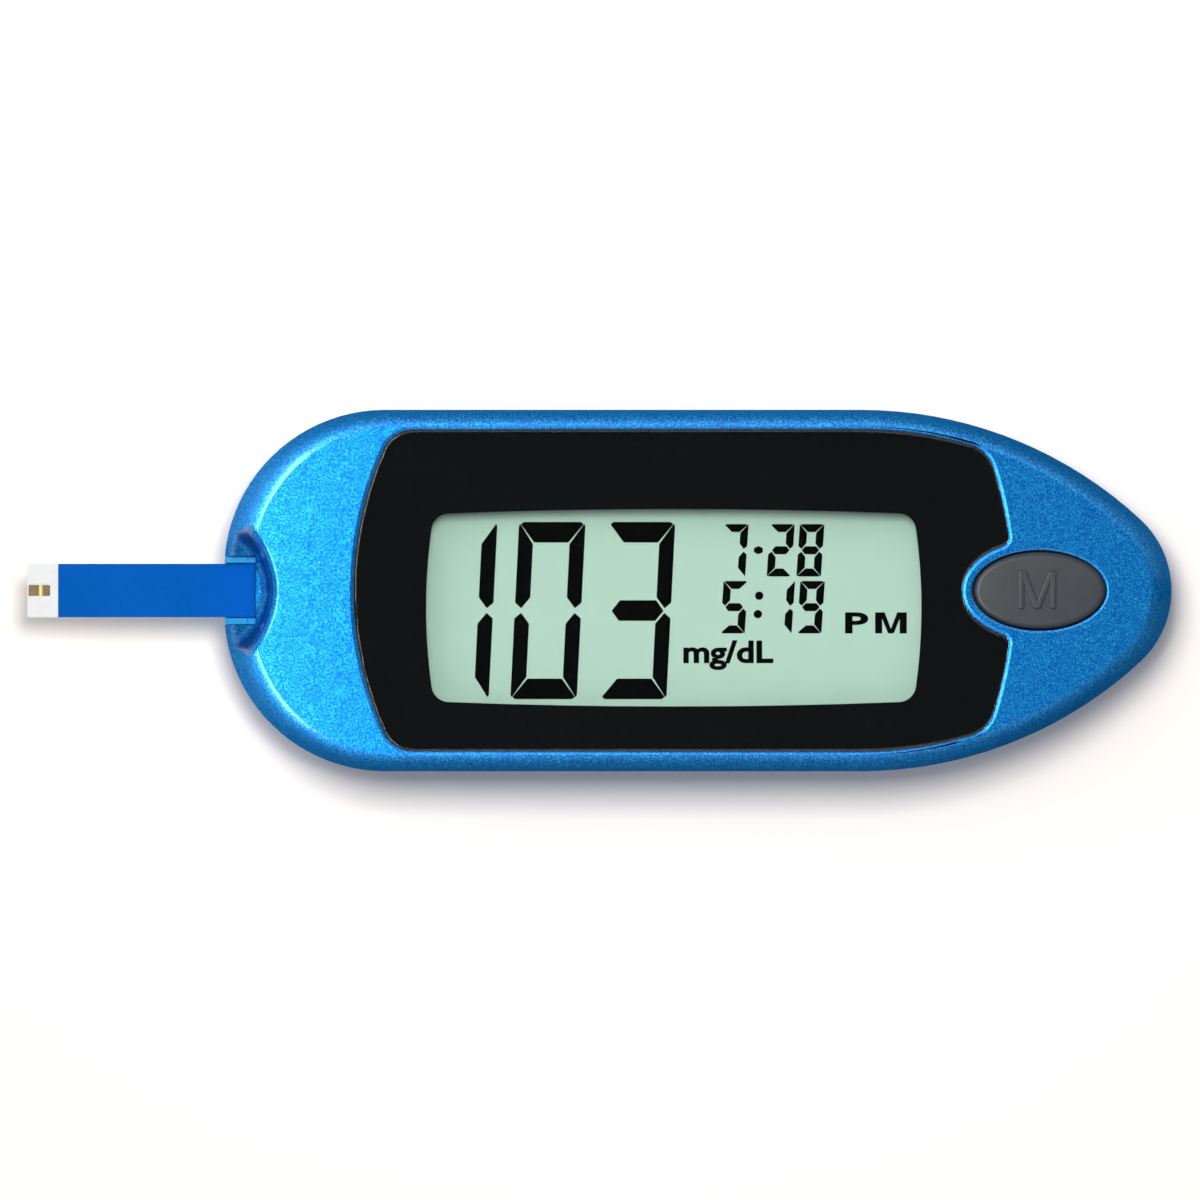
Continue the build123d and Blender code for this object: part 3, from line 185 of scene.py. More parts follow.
def layered_elastomer():
    """Silicone with carbon-filled layers 0.1 mm apart, drawn 0.4 mm apart so that they show."""
    finish, tree, place = new_finish("layered_silicone_rubber")
    split = add(tree, "ShaderNodeSeparateXYZ", None, Vector=place).outputs[0]
    count = add(tree, "ShaderNodeMath", {"operation": "MULTIPLY"}, i0=split, i1=per_mm(0.4)).outputs[0]
    part = add(tree, "ShaderNodeMath", {"operation": "FRACT"}, i0=count).outputs[0]
    colour = add(tree, "ShaderNodeValToRGB", {"stops": [
        (0.40, linear("#E0A4AC")), (0.44, linear("#2B2528")), (0.60, linear("#2B2528")),
        (0.64, linear("#E0A4AC"))]}, Fac=part).outputs[0]
    skin = add(tree, "ShaderNodeBsdfPrincipled", None, Base_Color=colour, Roughness=0.6)
    add(tree, "ShaderNodeOutputMaterial", None, Surface=skin.outputs[0])
    return finish


def dried_reagent(highlight_band_x):
    """Reagent dried in the strip's channel: mottled brown gold, with a painted highlight, a paler band across
    it.
    """
    finish, tree, place = new_finish("dried_reagent")
    mottle = add(tree, "ShaderNodeTexNoise", Vector=place, Scale=per_mm(0.3), Detail=3.0).outputs[0]
    colour = add(tree, "ShaderNodeValToRGB", {"stops": [(0.3, linear("#5C4400")), (0.7, linear("#846400"))]},
                 Fac=mottle).outputs[0]
    along = add(tree, "ShaderNodeSeparateXYZ", None, Vector=place).outputs[0]
    away = add(tree, "ShaderNodeMath", {"operation": "SUBTRACT"}, i0=along, i1=highlight_band_x).outputs[0]
    off = add(tree, "ShaderNodeMath", {"operation": "ABSOLUTE"}, i0=away).outputs[0]
    # painted highlight: a narrow band of pale gold across the reagent, standing in for light caught there
    painted_highlight_band = add(tree, "ShaderNodeMapRange", None, Value=off, i1=0.08 * MM, i2=0.2 * MM, i3=1.0,
               i4=0.0).outputs[0]
    shade = add(tree, "ShaderNodeMix", {"data_type": "RGBA"}, i0=painted_highlight_band, i6=colour,
                i7=linear("#F4E08A")).outputs[2]
    skin = add(tree, "ShaderNodeBsdfPrincipled", None, Base_Color=shade, Roughness=0.5)
    add(tree, "ShaderNodeOutputMaterial", None, Surface=skin.outputs[0])
    return finish


# where the reagent's painted highlight band lies along the strip
highlight_band_x = -59.60 * MM
finishes = {
    "blue_metallic_shell": metallic_lacquer(),
    # acrylic, injection moulded and polished: crisp faint reflections
    "clear_acrylic": clear("polished_acrylic", "#FEFFFF", 1.49, (0.0, 0.02), 6.0),
    # screen ink bonded to the back of the lens: an even near-black with no gloss of its own
    "black_print": moulded("black_screen_ink", "#0B0E0E", "#111414", 0.6, (0.5, 0.6), 0.0005,
                           Specular_IOR_Level=0.0),
    # closed-cell foam: matte black with cells of 0.3 mm
    "foam": moulded("closed_cell_foam", "#18181A", "#2B2B2E", 0.3, (0.9, 1.0), 0.1),
    # stretched iodine film bonded to the glass: a neutral tint that hardly reflects
    "polariser_film": clear("bonded_polarising_film", "#FAFDFB", 1.12, (0.02, 0.05), 5.0),
    # drawn soda-lime sheet, filled with liquid crystal: clear, with a trace of green
    "display_glass": clear("drawn_soda_lime_glass", "#FBFEFC", 1.15, (0.0, 0.02), 8.0),
    # pearly pale green film behind the crystal, faintly clouded
    "reflector_film": moulded("pearly_reflector_film", "#A9CDBC", "#B0D3C3", 2.5, (0.45, 0.55), 0.002),
    # moulded polycarbonate: white with a fine spark-eroded grain
    "white_moulding": moulded("spark_grained_polycarbonate", "#DEDEDA", "#EAEAE6", 0.25, (0.45, 0.6)),
    "contact_elastomer": layered_elastomer(),
    "circuit_board": solder_mask(),
    # transfer-moulded epoxy: black, dull, finely speckled
    "chip_epoxy": moulded("transfer_moulded_epoxy", "#1C1C1E", "#2C2C2F", 0.12, (0.55, 0.7)),
    # fired ceramic chips: tan and slightly mottled
    "chip_ceramic": moulded("fired_ceramic", "#A88A66", "#C2A580", 0.2, (0.4, 0.55)),
    # drawn steel: fine lines along the draw
    "crystal_can": moulded("drawn_steel", "#C4C6C8", "#DADCDD", 0.1, (0.22, 0.34), 0.002, (0.15, 1, 1),
                           Metallic=1.0),
    # glass-filled plastic: dark with pale specks
    "buzzer_plastic": moulded("glass_filled_plastic", "#1E1E21", "#3A3A3E", 0.15, (0.5, 0.65)),
    # moulded nylon: dark, even, low sheen
    "switch_housing": moulded("black_nylon", "#252528", "#343437", 0.2, (0.45, 0.6)),
    # red-brown nylon, low sheen
    "switch_plunger": moulded("red_brown_nylon", "#A0422F", "#BC5540", 0.2, (0.4, 0.5)),
    # silicone rubber from a fine-blasted mould: dark grey satin
    "grey_rubber": moulded("satin_silicone_rubber", "#3C4044", "#454A4E", 0.14, (0.32, 0.42), 0.004),
    # unfilled nylon: milky cream
    "connector_nylon": moulded("natural_nylon", "#DCD8C6", "#EAE6D6", 0.4, (0.4, 0.5)),
    # gold over rolled bronze: warm, with lines along the strip
    "gilt_spring": moulded("gold_plated_bronze", "#D9AE4E", "#F2D07A", 0.08, (0.2, 0.32), 0.002, (0.1, 1, 1),
                           Metallic=1.0),
    # tinted polycarbonate: light blue, glossy
    "port_plastic": moulded("tinted_polycarbonate", "#1E94CC", "#2BA2D8", 0.8, (0.2, 0.28), 0.002,
                            Specular_IOR_Level=0.3),
    # rolled and plated nickel: bright, faintly scuffed
    "nickel_plate": moulded("rolled_nickel_plate", "#D6D5D0", "#EAE9E4", 0.12, (0.2, 0.34), 0.002,
                            (0.2, 1, 1), Metallic=1.0),
    # polypropylene ring: dark and waxy
    "cell_seal": moulded("waxy_polypropylene", "#35353A", "#46464B", 0.3, (0.4, 0.5)),
    # pressed powder: black and dead matte
    "cathode_mix": moulded("pressed_oxide_powder", "#262626", "#393939", 0.1, (0.9, 1.0), 0.02),
    # soft foil: dull silver
    "lithium": moulded("dull_lithium_foil", "#C8CACD", "#DCDEE0", 0.5, (0.4, 0.55), 0.004, Metallic=1.0),
    # zinc-plated and passivated steel: grey with a slight mottle
    "screw_steel": moulded("zinc_plated_steel", "#BFC2C6", "#DADCDE", 0.25, (0.25, 0.4), 0.002,
                           Metallic=1.0),
    # silver polyester label: fine lines along its roll
    "label_paper": moulded("silver_polyester_label", "#C9CACB", "#D8D9DA", 0.15, (0.35, 0.5), 0.002,
                           (0.12, 1, 1)),
    # white polyester: smooth and faintly clouded
    "strip_film": moulded("white_polyester_film", "#F8F9F9", "#FFFFFF", 0.9, (0.35, 0.45), 0.001),
    # screen-printed carbon: dark, with the mesh's 0.1 mm specks
    "carbon_ink": moulded("printed_carbon_ink", "#2A2A2C", "#434346", 0.1, (0.6, 0.8)),
    # adhesive film: white, slightly warmer
    "spacer_film": moulded("white_adhesive_film", "#EFEFED", "#F8F8F6", 0.9, (0.4, 0.5), 0.001),
    "reagent": dried_reagent(highlight_band_x),
    # wetting film: clear, with a soft sheen
    "clear_film": clear("clear_wetting_film", "#FCFDFD", 1.3, (0.1, 0.2), 3.0),
    # rear glass backed by its pearly film: pale green all through
    "backed_glass": moulded("pearl_backed_glass", "#CCE1D7", "#D2E6DD", 3.0, (0.4, 0.5), 0.001,
                            Specular_IOR_Level=0.1),
    # gravure print on film: an even strong blue
    "blue_print": moulded("gravure_print_on_film", "#0059B2", "#005FBC", 0.5, (0.4, 0.5), 0.001,
                          Specular_IOR_Level=0.02),
    # dyed liquid crystal: black
    "crystal_black": moulded("dyed_liquid_crystal", "#020303", "#060707", 0.5, (0.6, 0.7), 0.0005,
                             Specular_IOR_Level=0.0),
}


# ---- Pieces ----

# the face's height at its middle, how its crown falls away lengthwise, and how proud the lens stands
face_z = 14.0 * MM
crown_fall = 1240 * MM
lens_proud = 0.12 * MM
# a point this near the crowned face counts as on it
on_crown = 0.004 * MM
# creases flatter than this are shaded smooth, in degrees
smooth_angle = 32
# the level of the parting line, the flank above it, and the circle that the finger scoop's rim follows
parting_z = 7.2 * MM
flank_rise = 5.4 * MM
flank_cuts = (0.2, 0.4, 0.6, 0.8)
scoop_x = -45.95 * MM
scoop_radius = 8.15 * MM
scoop_end_x = -38.6 * MM
# the draft of the outer wall above the parting line, as a share, for telling it from the scoop
wall_draft = 0.32
wall_slack = 0.1 * MM
# how far the scoop's normals are leaned back towards its end, and over what length
scoop_lean = 0.8
scoop_fade = 2.2 * MM
# the band shaded as one soft round, and its tilt at the crest and further down, in degrees
rim_width = 3.4 * MM
crest_tilt = 11
rim_tilt = 25
# the width of the eased edges, and the tilt they are shaded with so that they catch the side lamp
eased_width = 0.2 * MM
eased_tilt = math.radians(15)
# the memory key's oval, its dome and its rounded edge
key_reach = (5.9 * MM, 3.45 * MM)
key_dome = 60 * MM
key_round = 0.5 * MM
key_depth = 1.2 * MM

slot_of = {row["node"]: row["material_slot"] for row in frame["record"]["subparts"]}
body_of = {node: body for body, members in frame["record"]["behaviour"]["bodies"].items() for node in members}


def take(*pieces):
    """Selects those pieces alone, the first of them active."""
    for other in bpy.context.selected_objects:
        other.select_set(False)
    for piece in pieces:
        piece.select_set(True)
    bpy.context.view_layer.objects.active = pieces[0]


def edit(piece, pick=None, mode="VERT"):
    """Opens a piece for editing with those vertices selected that pick says, or all of them."""
    take(piece)
    bpy.ops.object.mode_set(mode="EDIT")
    bpy.ops.mesh.select_mode(type="VERT")
    bpy.ops.mesh.select_all(action="SELECT" if pick is None else "DESELECT")
    if pick is not None:
        bpy.ops.object.mode_set(mode="OBJECT")
        for vertex in piece.data.vertices:
            vertex.select = bool(pick(vertex.co))
        bpy.ops.object.mode_set(mode="EDIT")
    if mode != "VERT":
        bpy.ops.mesh.select_mode(type=mode)


def leave():
    bpy.ops.object.mode_set(mode="OBJECT")


def plane(x0, y0, x1, y1, z):
    """A flat face between two corners, in millimetres."""
    bpy.ops.mesh.primitive_plane_add(size=1, location=((x0 + x1) / 2 * MM, (y0 + y1) / 2 * MM, z * MM))
    made = bpy.context.object
    made.scale = ((x1 - x0) * MM, (y1 - y0) * MM, 1)
    bpy.ops.object.transform_apply(location=True, rotation=True, scale=True)
    return made


def thicken(piece, height):
    """Pulls a flat piece up to a thickness, in millimetres, with its faces outwards."""
    edit(piece)
    bpy.ops.mesh.extrude_region_move(TRANSFORM_OT_translate={"value": (0, 0, height * MM)})
    bpy.ops.mesh.select_all(action="SELECT")
    bpy.ops.mesh.normals_make_consistent(inside=False)
    leave()
    return piece


def trim(piece, *cuts):
    """Trims a flat piece along lines, each a point in millimetres and the direction that is cut away."""
    for point, away in cuts:
        edit(piece)
        bpy.ops.mesh.bisect(plane_co=(point[0] * MM, point[1] * MM, 0), plane_no=(away[0], away[1], 0),
                            clear_outer=True)
        leave()
    return piece


def copied(piece, *turns):
    """A copy with its own mesh, moved or mirrored by each matrix in turn."""
    made = bpy.data.objects.new(piece.name, piece.data.copy())
    bpy.context.scene.collection.objects.link(made)
    for turn in turns:
        made.data.transform(turn)
    return made


def joined(pieces):
    """One piece of several, with its faces outwards."""
    take(*pieces)
    bpy.ops.object.join()
    whole = bpy.context.object
    edit(whole)
    bpy.ops.mesh.normals_make_consistent(inside=False)
    leave()
    return whole


def ready(piece, name, body, slot, finish=None, smooth=None, stands_for=()):
    """Names a piece, gives it its finish and shading, and has it ride on its body."""
    piece.name = name
    piece.data.name = name
    piece.data.materials.clear()
    piece.data.materials.append(finishes[finish or slot])
    if smooth is not None:
        take(piece)
        bpy.ops.object.shade_smooth_by_angle(angle=math.radians(smooth))
    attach(piece, body)
    if stands_for:
        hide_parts(*stands_for)
    return piece


def welded(node):
    """A copy of a node's solid with its loose faces joined."""
    made = bpy.data.objects.new(node, nodes[node].data.copy())
    bpy.context.scene.collection.objects.link(made)
    edit(made)
    bpy.ops.mesh.remove_doubles(threshold=0.0005 * MM)
    leave()
    return made


def even_shading(piece, angle):
    """Smooths the rounds and keeps the broad faces true."""
    take(piece)
    bpy.ops.object.shade_smooth_by_angle(angle=math.radians(angle))
    piece.modifiers.new("true_faces", "WEIGHTED_NORMAL").keep_sharp = True
    bpy.ops.object.modifier_apply(modifier="true_faces")


def crown(co, height):
    """How far a point stands off the crowned face of that height, in metres."""
    return abs(co.z - height + co.x ** 2 / crown_fall)


def true_faces(piece, height):
    """Gives level faces, and the crowned face of that height with its rounds, their own exact normals."""
    mesh = piece.data
    now = [corner.vector.copy() for corner in mesh.corner_normals]
    for face in mesh.polygons:
        ends = [mesh.vertices[v].co for v in face.vertices]
        inside = all(crown(co, height) < on_crown for co in ends)
        level = abs(face.normal.z) > 0.9999 and not inside
        for loop, co in zip(face.loop_indices, ends):
            true = Vector((2 * co.x / crown_fall, 0, 1)).normalized()
            if level:
                now[loop] = face.normal
            elif crown(co, height) < on_crown and (inside or face.normal.dot(true) > 0.85):
                now[loop] = true
    mesh.normals_split_custom_set(now)


def to_outline(co, outline):
    """How far inside an outline of edges a point lies in plan, and the way out to it."""
    best = None
    for start, end in outline:
        along = end - start
        share = min(1, max(0, (co.xy - start).dot(along) / along.length_squared))
        out = start + along * share - co.xy
        if best is None or out.length < best.length:
            best = out
    return best.length, best


def soft_rim(piece, height, low_z):
    """Shades the outside below the crowned face, down to that level, as one round that runs on from it.

    Only the shading is round: the wall below stays as flat as the solid's. The eased edges of the openings
    are shaded as narrow facets, flatter than they are.
    """
    mesh = piece.data
    now = [corner.vector.copy() for corner in mesh.corner_normals]
    points = [v.co.copy() for v in mesh.vertices]
    ends_of = [(points[edge.vertices[0]], points[edge.vertices[1]]) for edge in mesh.edges]
    level = 0.01 * MM
    ring = [(a.xy, b.xy) for a, b in ends_of if abs(a.z - low_z) < level and abs(b.z - low_z) < level]
    above = Vector((0, 0, low_z + 0.05 * MM))
    ring = [(a, b) for a, b in ring if outside(piece, ((a + b) / 2).to_3d() + above)]
    skin = {}
    for face in mesh.polygons:
        spot = face.center
        if spot.z < low_z or all(crown(points[v], height) < on_crown for v in face.vertices):
            continue
        in_scoop = math.hypot(spot.x - scoop_x, spot.y) < scoop_radius
        inset, out = to_outline(spot, ring)
        if in_scoop and inset > wall_draft * (spot.z - low_z) + wall_slack:
            for loop, v in zip(face.loop_indices, face.vertices):
                share = min(1, max(0, (scoop_end_x - points[v].x) / scoop_fade))
                now[loop] = (now[loop] - Vector((scoop_lean * share, 0, 0))).normalized()
        elif 0.05 < face.normal.z < 0.9999 and inset < rim_width and out.dot(face.normal.xy) > 0:
            if outside(piece, spot, face.normal):
                for loop, v in zip(face.loop_indices, face.vertices):
                    skin.setdefault(v, []).append(loop)
        elif 0.3 < face.normal.z < 0.97 and crown(spot, height) < 0.4 * MM:
            eased = face.normal.xy.normalized() * math.sin(eased_tilt)
            for loop in face.loop_indices:
                now[loop] = Vector((eased.x, eased.y, math.cos(eased_tilt)))
    depth = {v: to_outline(points[v], ring) for v in skin}
    rim = [v for v in skin if crown(points[v], height) < on_crown]
    for v, loops in skin.items():
        edge = min(rim, key=lambda other: (points[other].xy - points[v].xy).length)
        share = min(1, depth[v][0] / depth[edge][0])
        away = depth[v][1] if depth[v][0] > 0.05 * MM else now[loops[0]].xy
        if away.length == 0 or depth[edge][0] == 0:
            continue
        steep = math.radians(crest_tilt + rim_tilt * (1 - share ** 2))
        away = away.normalized() * math.sin(steep)
        for loop in loops:
            now[loop] = Vector((away.x, away.y, math.cos(steep)))
    mesh.normals_split_custom_set(now)


def true_key(piece):
    """Gives the key's domed top and its rounded edge their own exact normals."""
    mesh = piece.data
    now = [corner.vector.copy() for corner in mesh.corner_normals]
    low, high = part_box("memory_key")
    centre = (low + high) / 2
    for face in mesh.polygons:
        if face.normal.z < 0.02 or face.center.z < high.z - key_depth:
            continue
        for loop, v in zip(face.loop_indices, face.vertices):
            far = mesh.vertices[v].co.xy - centre.xy
            ring = math.hypot(far.x / key_reach[0], far.y / key_reach[1])
            out = Vector((far.x / key_reach[0] ** 2, far.y / key_reach[1] ** 2))
            inset = (1 - ring) * far.length / max(ring, 0.01)
            steep = math.asin(min(1, max(0, 1 - inset / key_round))) if ring > 0.01 else 0
            lean = out.normalized() * math.sin(steep) if steep else Vector((0, 0))
            lean += far / key_dome
            now[loop] = Vector((lean.x, lean.y, math.cos(steep))).normalized()
    mesh.normals_split_custom_set(now)


def outside(piece, place, way=None):
    """True where nothing of the piece lies beyond a place, in plan, along a way or straight out from x."""
    way = Vector((way.x, way.y, 0)) if way is not None else Vector((place.x * 0.2, place.y, 0))
    start = place + way.normalized() * 0.03 * MM
    return way.length > 0 and not piece.ray_cast(start, way.normalized())[0]


for node, solid in nodes.items():
    solid.data.materials.clear()
    solid.data.materials.append(finishes[slot_of[node]])

smooth_nodes = [
    "rear_case", "battery_door", "memory_key", "set_key", "strip_port_guide",
    "display_gasket", "lcd_holder", "buzzer", "set_switch_plunger", "memory_switch_plunger", "clock_crystal",
    "battery_can", "battery_cap", "battery_seal", "battery_cathode", "battery_lithium",
    "battery_contact_positive", "battery_contact_negative", "case_screws", "strip_connector_contacts",
]
for node in smooth_nodes:
    piece = welded(node)
    even_shading(piece, smooth_angle)
    true_faces(piece, face_z)
    if node == "memory_key":
        true_key(piece)
    ready(piece, node + "_piece", body_of[node], slot_of[node], stands_for=[node])

# front case, with the edges of its lens seat and key opening eased
front = welded("front_case")
seat_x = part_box("display_lens")[0].x - 0.2 * MM
rises = {}
for face in front.data.polygons:
    for key in face.edge_keys:
        rises.setdefault(key, []).append(abs(face.normal.z))
edit(front, lambda co: False, "EDGE")
leave()
# the upright walls of the openings meet the crowned face at these edges
for edge in front.data.edges:
    ends = [front.data.vertices[v].co for v in edge.vertices]
    rise = sorted(rises.get(tuple(sorted(edge.vertices)), []))
    edge.select = (all(crown(co, face_z) < on_crown and co.x > seat_x for co in ends)
                   and len(rise) == 2 and rise[0] < 0.3 and rise[1] > 0.98)
take(front)
bpy.ops.object.mode_set(mode="EDIT")
bpy.ops.mesh.select_mode(type="EDGE")
bpy.ops.mesh.bevel(offset=eased_width, segments=1, affect="EDGES", clamp_overlap=False, loop_slide=False)
leave()
for share in flank_cuts:
    edit(front)
    bpy.ops.mesh.bisect(plane_co=(0, 0, parting_z + share * flank_rise), plane_no=(0, 0, 1))
    leave()
even_shading(front, smooth_angle)
true_faces(front, face_z)
soft_rim(front, face_z, parting_z)
ready(front, "front_case_piece", "root", "blue_metallic_shell", stands_for=["front_case"])

# lens, and the print and display sheets below it, each a hair clear of the next
lens = welded("display_lens")
even_shading(lens, smooth_angle)
true_faces(lens, face_z + lens_proud)
ready(lens, "display_lens_piece", "root", "clear_acrylic", stands_for=["display_lens"])

hair = 0.012
for node in ("lens_mask", "lcd_front_polariser", "lcd_front_glass", "lcd_rear_glass"):
    low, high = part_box(nodes[node].name)
    sheet = welded(node)
    for side, step in ((low.z, hair * MM), (high.z, -hair * MM)):
        edit(sheet, lambda co: abs(co.z - side) < 0.002 * MM)
        bpy.ops.transform.translate(value=(0, 0, step))
        leave()
    even_shading(sheet, smooth_angle)
    true_faces(sheet, face_z)
    ready(sheet, node + "_piece", "root", slot_of[node], stands_for=[node],
          finish="backed_glass" if node == "lcd_rear_glass" else None)

# figures of the display, in the hair of room between its two glasses
cell_gap = hair
cell_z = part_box("lcd_rear_glass")[1].z / MM - cell_gap / 2


def bars(width, height, post, rail, gap):
    """The seven bars of one figure with its lower left corner at the origin."""
    mid = height / 2
    tip = 0.43 * post
    slope = math.radians(52)
    fall = math.radians(41)
    corner = 0.3 * post
    mitre = Vector((-rail, -post)).normalized()
    inner = Vector((post, height - rail))
    gap_half = gap / 2
    top = plane(0, height - rail, width, height, cell_z)
    other_inner = Vector((width - post, height - rail))
    trim(top,
         (inner - mitre * gap_half, mitre),
         (other_inner + Vector((mitre.x, -mitre.y)) * gap_half, (-mitre.x, mitre.y)),
         ((corner, height), (-1, 1)),
         ((width - corner, height), (1, 1)))
    side = plane(0, mid, post, height, cell_z)
    point = Vector((tip, mid + 0.22 * gap + gap))
    trim(side,
         (inner + mitre * gap_half, -mitre),
         (point, (math.sin(slope), -math.cos(slope))),
         (point, (-math.sin(fall), -math.cos(fall))),
         ((0, height - corner), (-1, 0.45)))
    bridge = plane(0, mid - rail / 2, width, mid + rail / 2, cell_z)
    left_tip = Vector((tip + 0.3 * gap, mid))
    right_tip = Vector((width - tip - 0.3 * gap, mid))
    lean = Vector((-math.sin(slope), math.cos(slope)))
    trim(bridge,
         (left_tip, lean),
         (left_tip, (lean.x, -lean.y)),
         (right_tip, (-lean.x, lean.y)),
         (right_tip, (-lean.x, -lean.y)))
    for bar in (top, side, bridge):
        thicken(bar, cell_gap)
    centre = Vector((width / 2 * MM, mid * MM, 0))
    to_centre = Matrix.Translation(-centre)
    back = Matrix.Translation(centre)
    flip_x = Matrix.Scale(-1, 4, (1, 0, 0))
    flip_y = Matrix.Scale(-1, 4, (0, 1, 0))
    made = {
        "a": top,
        "f": side,
        "g": bridge,
        "d": copied(top, to_centre, flip_y, back),
        "b": copied(side, to_centre, flip_x, back),
        "e": copied(side, to_centre, flip_y, back),
        "c": copied(side, to_centre, flip_x, flip_y, back),
    }
    return made


lit = {
    "0": "abcdef", "1": "bc", "2": "abdeg", "3": "abcdg", "5": "acdfg", "7": "abc", "8": "abcdefg",
    "9": "abcdfg",
}


def figure(number, kit, x, y, slant):
    """One figure of lit bars, leaned over and put with its lower left corner at x, y."""
    lean = Matrix.Identity(4)
    lean[0][1] = math.tan(math.radians(slant))
    place = Matrix.Translation((x * MM, y * MM, 0))
    return joined([copied(kit[bar], lean, place) for bar in lit[number]])


def dot(x, y, width, height, sides):
    """A dot of the display."""
    bpy.ops.mesh.primitive_circle_add(vertices=sides, radius=0.5, fill_type="NGON",
                                      location=(x * MM, y * MM, cell_z * MM))
    made = bpy.context.object
    made.scale = (width * MM, height * MM, 1)
    bpy.ops.object.transform_apply(location=True, rotation=True, scale=True)
    return thicken(made, cell_gap)


def letters(text, x0, y0, x1, y1, weight):
    """Letters of the display, filling the box between two corners."""
    bpy.ops.object.text_add()
    made = bpy.context.object
    made.data.body = text
    made.data.offset = weight
    made.data.resolution_u = 4
    bpy.ops.object.convert(target="MESH")
    made = bpy.context.object
    spots = [vertex.co for vertex in made.data.vertices]
    low = Vector([min(co[i] for co in spots) for i in range(3)])
    high = Vector([max(co[i] for co in spots) for i in range(3)])
    size = high - low
    fit = Matrix.Diagonal(((x1 - x0) * MM / size.x, (y1 - y0) * MM / size.y, 1, 1))
    made.data.transform(Matrix.Translation((x0 * MM, y0 * MM, cell_z * MM)) @ fit @ Matrix.Translation(-low))
    edit(made)
    bpy.ops.mesh.remove_doubles(threshold=0.002 * MM)
    leave()
    return thicken(made, cell_gap)


def letter_m(x, y, half_width, half_height, stroke, z):
    """A flat M about x, y: its left half is drawn face by face, then mirrored."""
    left = -half_width
    made = plane(left, -half_height, left + stroke, half_height, z)
    rows = [
        (Vector((left + stroke, half_height - 1.05 / 1.72 * half_height)), Vector((left, half_height))),
        (Vector((-0.18 * half_width, -half_height)), Vector((left + 1.35 * stroke, half_height))),
        (Vector((0.0, -half_height)), Vector((0.0, -half_height + 0.44 * half_height))),
    ]

    def at(spot, co):
        return (co.xy / MM - spot).length < 0.01

    edit(made, lambda co: at(Vector((left + stroke, half_height)), co))
    bpy.ops.transform.translate(value=(0, (rows[0][0].y - half_height) * MM, 0))
    leave()
    for now, new in zip(rows, rows[1:]):
        edit(made, lambda co: at(now[0], co) or at(now[1], co), "EDGE")
        bpy.ops.mesh.extrude_edges_move(TRANSFORM_OT_translate={"value": (0, 0, 0.01)})
        leave()
        lifted = [v for v in made.data.vertices if v.co.z > z * MM + 0.005]
        for spot, target in zip(now, new):
            end = next(v for v in lifted if at(spot, v.co))
            end.co = (target.x * MM, target.y * MM, z * MM)
            lifted.remove(end)
    mirror = made.modifiers.new("other_half", "MIRROR")
    mirror.merge_threshold = 0.01 * MM
    take(made)
    bpy.ops.object.modifier_apply(modifier="other_half")
    edit(made)
    bpy.ops.mesh.remove_doubles(threshold=0.01 * MM)
    bpy.ops.mesh.normals_make_consistent(inside=False)
    bpy.ops.mesh.dissolve_limited(angle_limit=math.radians(1))
    leave()
    made.data.transform(Matrix.Translation((x * MM, y * MM, 0)))
    return made


def shown(piece, name):
    """A lit part of the display."""
    return ready(piece, name, "root", "black_print", finish="crystal_black")


great = bars(6.0, 16.04, 1.35, 1.86, 0.17)
great_y = -9.835
for name, number, x in (("hundreds", "1", -24.88), ("tens", "0", -16.93), ("units", "3", -8.84)):
    shown(figure(number, great, x, great_y, 2.85), "reading_" + name)

small = bars(2.22, 4.74, 0.7, 0.72, 0.1)
date_y = 1.27
time_y = -3.88
for name, number, x, y in (
    ("month", "7", 2.04, date_y), ("day_tens", "2", 6.2, date_y), ("day_units", "8", 8.88, date_y),
    ("hour", "5", 2.0, time_y), ("minute_tens", "1", 6.23, time_y), ("minute_units", "9", 8.92, time_y),
):
    shown(figure(number, small, x, y, 3.9), "clock_" + name)
for kit in (great, small):
    for bar in kit.values():
        bpy.data.objects.remove(bar)

shown(dot(5.46, 3.65, 0.93, 0.75, 6), "date_dash")
shown(dot(5.53, -0.47, 0.76, 0.76, 16), "colon_upper")
shown(dot(5.41, -2.14, 0.76, 0.76, 16), "colon_lower")
shown(letters("mg/dL", -1.31, -7.21, 6.81, -4.50, 0.03), "unit_letters")
half_day = [letters("P", 13.28, -3.88, 15.38, -1.98, 0.03)]
half_day.append(thicken(letter_m(17.42, -2.93, 1.43, 0.95, 0.64, cell_z), cell_gap))
shown(joined(half_day), "half_day_letters")

# raised letter of the memory key
key_low, key_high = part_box("memory_key")
key_x = (key_low.x + key_high.x) / 2 / MM
key_top = key_high.z / MM
letter_sunk = 0.12
letter_height = 0.3
letter = letter_m(key_x - 0.2, 0.05, 1.7, 1.72, 0.52, key_top - letter_sunk)
thicken(letter, letter_height)
ease = letter.modifiers.new("eased_edges", "BEVEL")
ease.width = 0.13 * MM
ease.segments = 3
ease.limit_method = "ANGLE"
take(letter)
bpy.ops.object.modifier_apply(modifier="eased_edges")
ready(letter, "key_letter", "memory_key", "grey_rubber", smooth=40)


# ---- Floor, light and camera ----

bpy.ops.mesh.primitive_plane_add(size=4, location=(0, 0, -0.05 * MM))
floor = bpy.context.object
floor.name = "floor"
finish, tree, place = new_finish("matt_white_board")
fibre = add(tree, "ShaderNodeTexNoise", Vector=place, Scale=per_mm(4.0), Detail=2.0).outputs[0]
ray = add(tree, "ShaderNodeLightPath")
mirrored = add(tree, "ShaderNodeMath", {"operation": "MAXIMUM"}, i0=ray.outputs["Is Glossy Ray"],
               i1=ray.outputs["Is Transmission Ray"]).outputs[0]
pale = add(tree, "ShaderNodeValToRGB", {"stops": [(0.3, grey(0.60)), (0.7, grey(0.62))]},
           Fac=fibre).outputs[0]
white = add(tree, "ShaderNodeMix", {"data_type": "RGBA"}, i0=mirrored, i6=pale, i7=grey(0.9)).outputs[2]
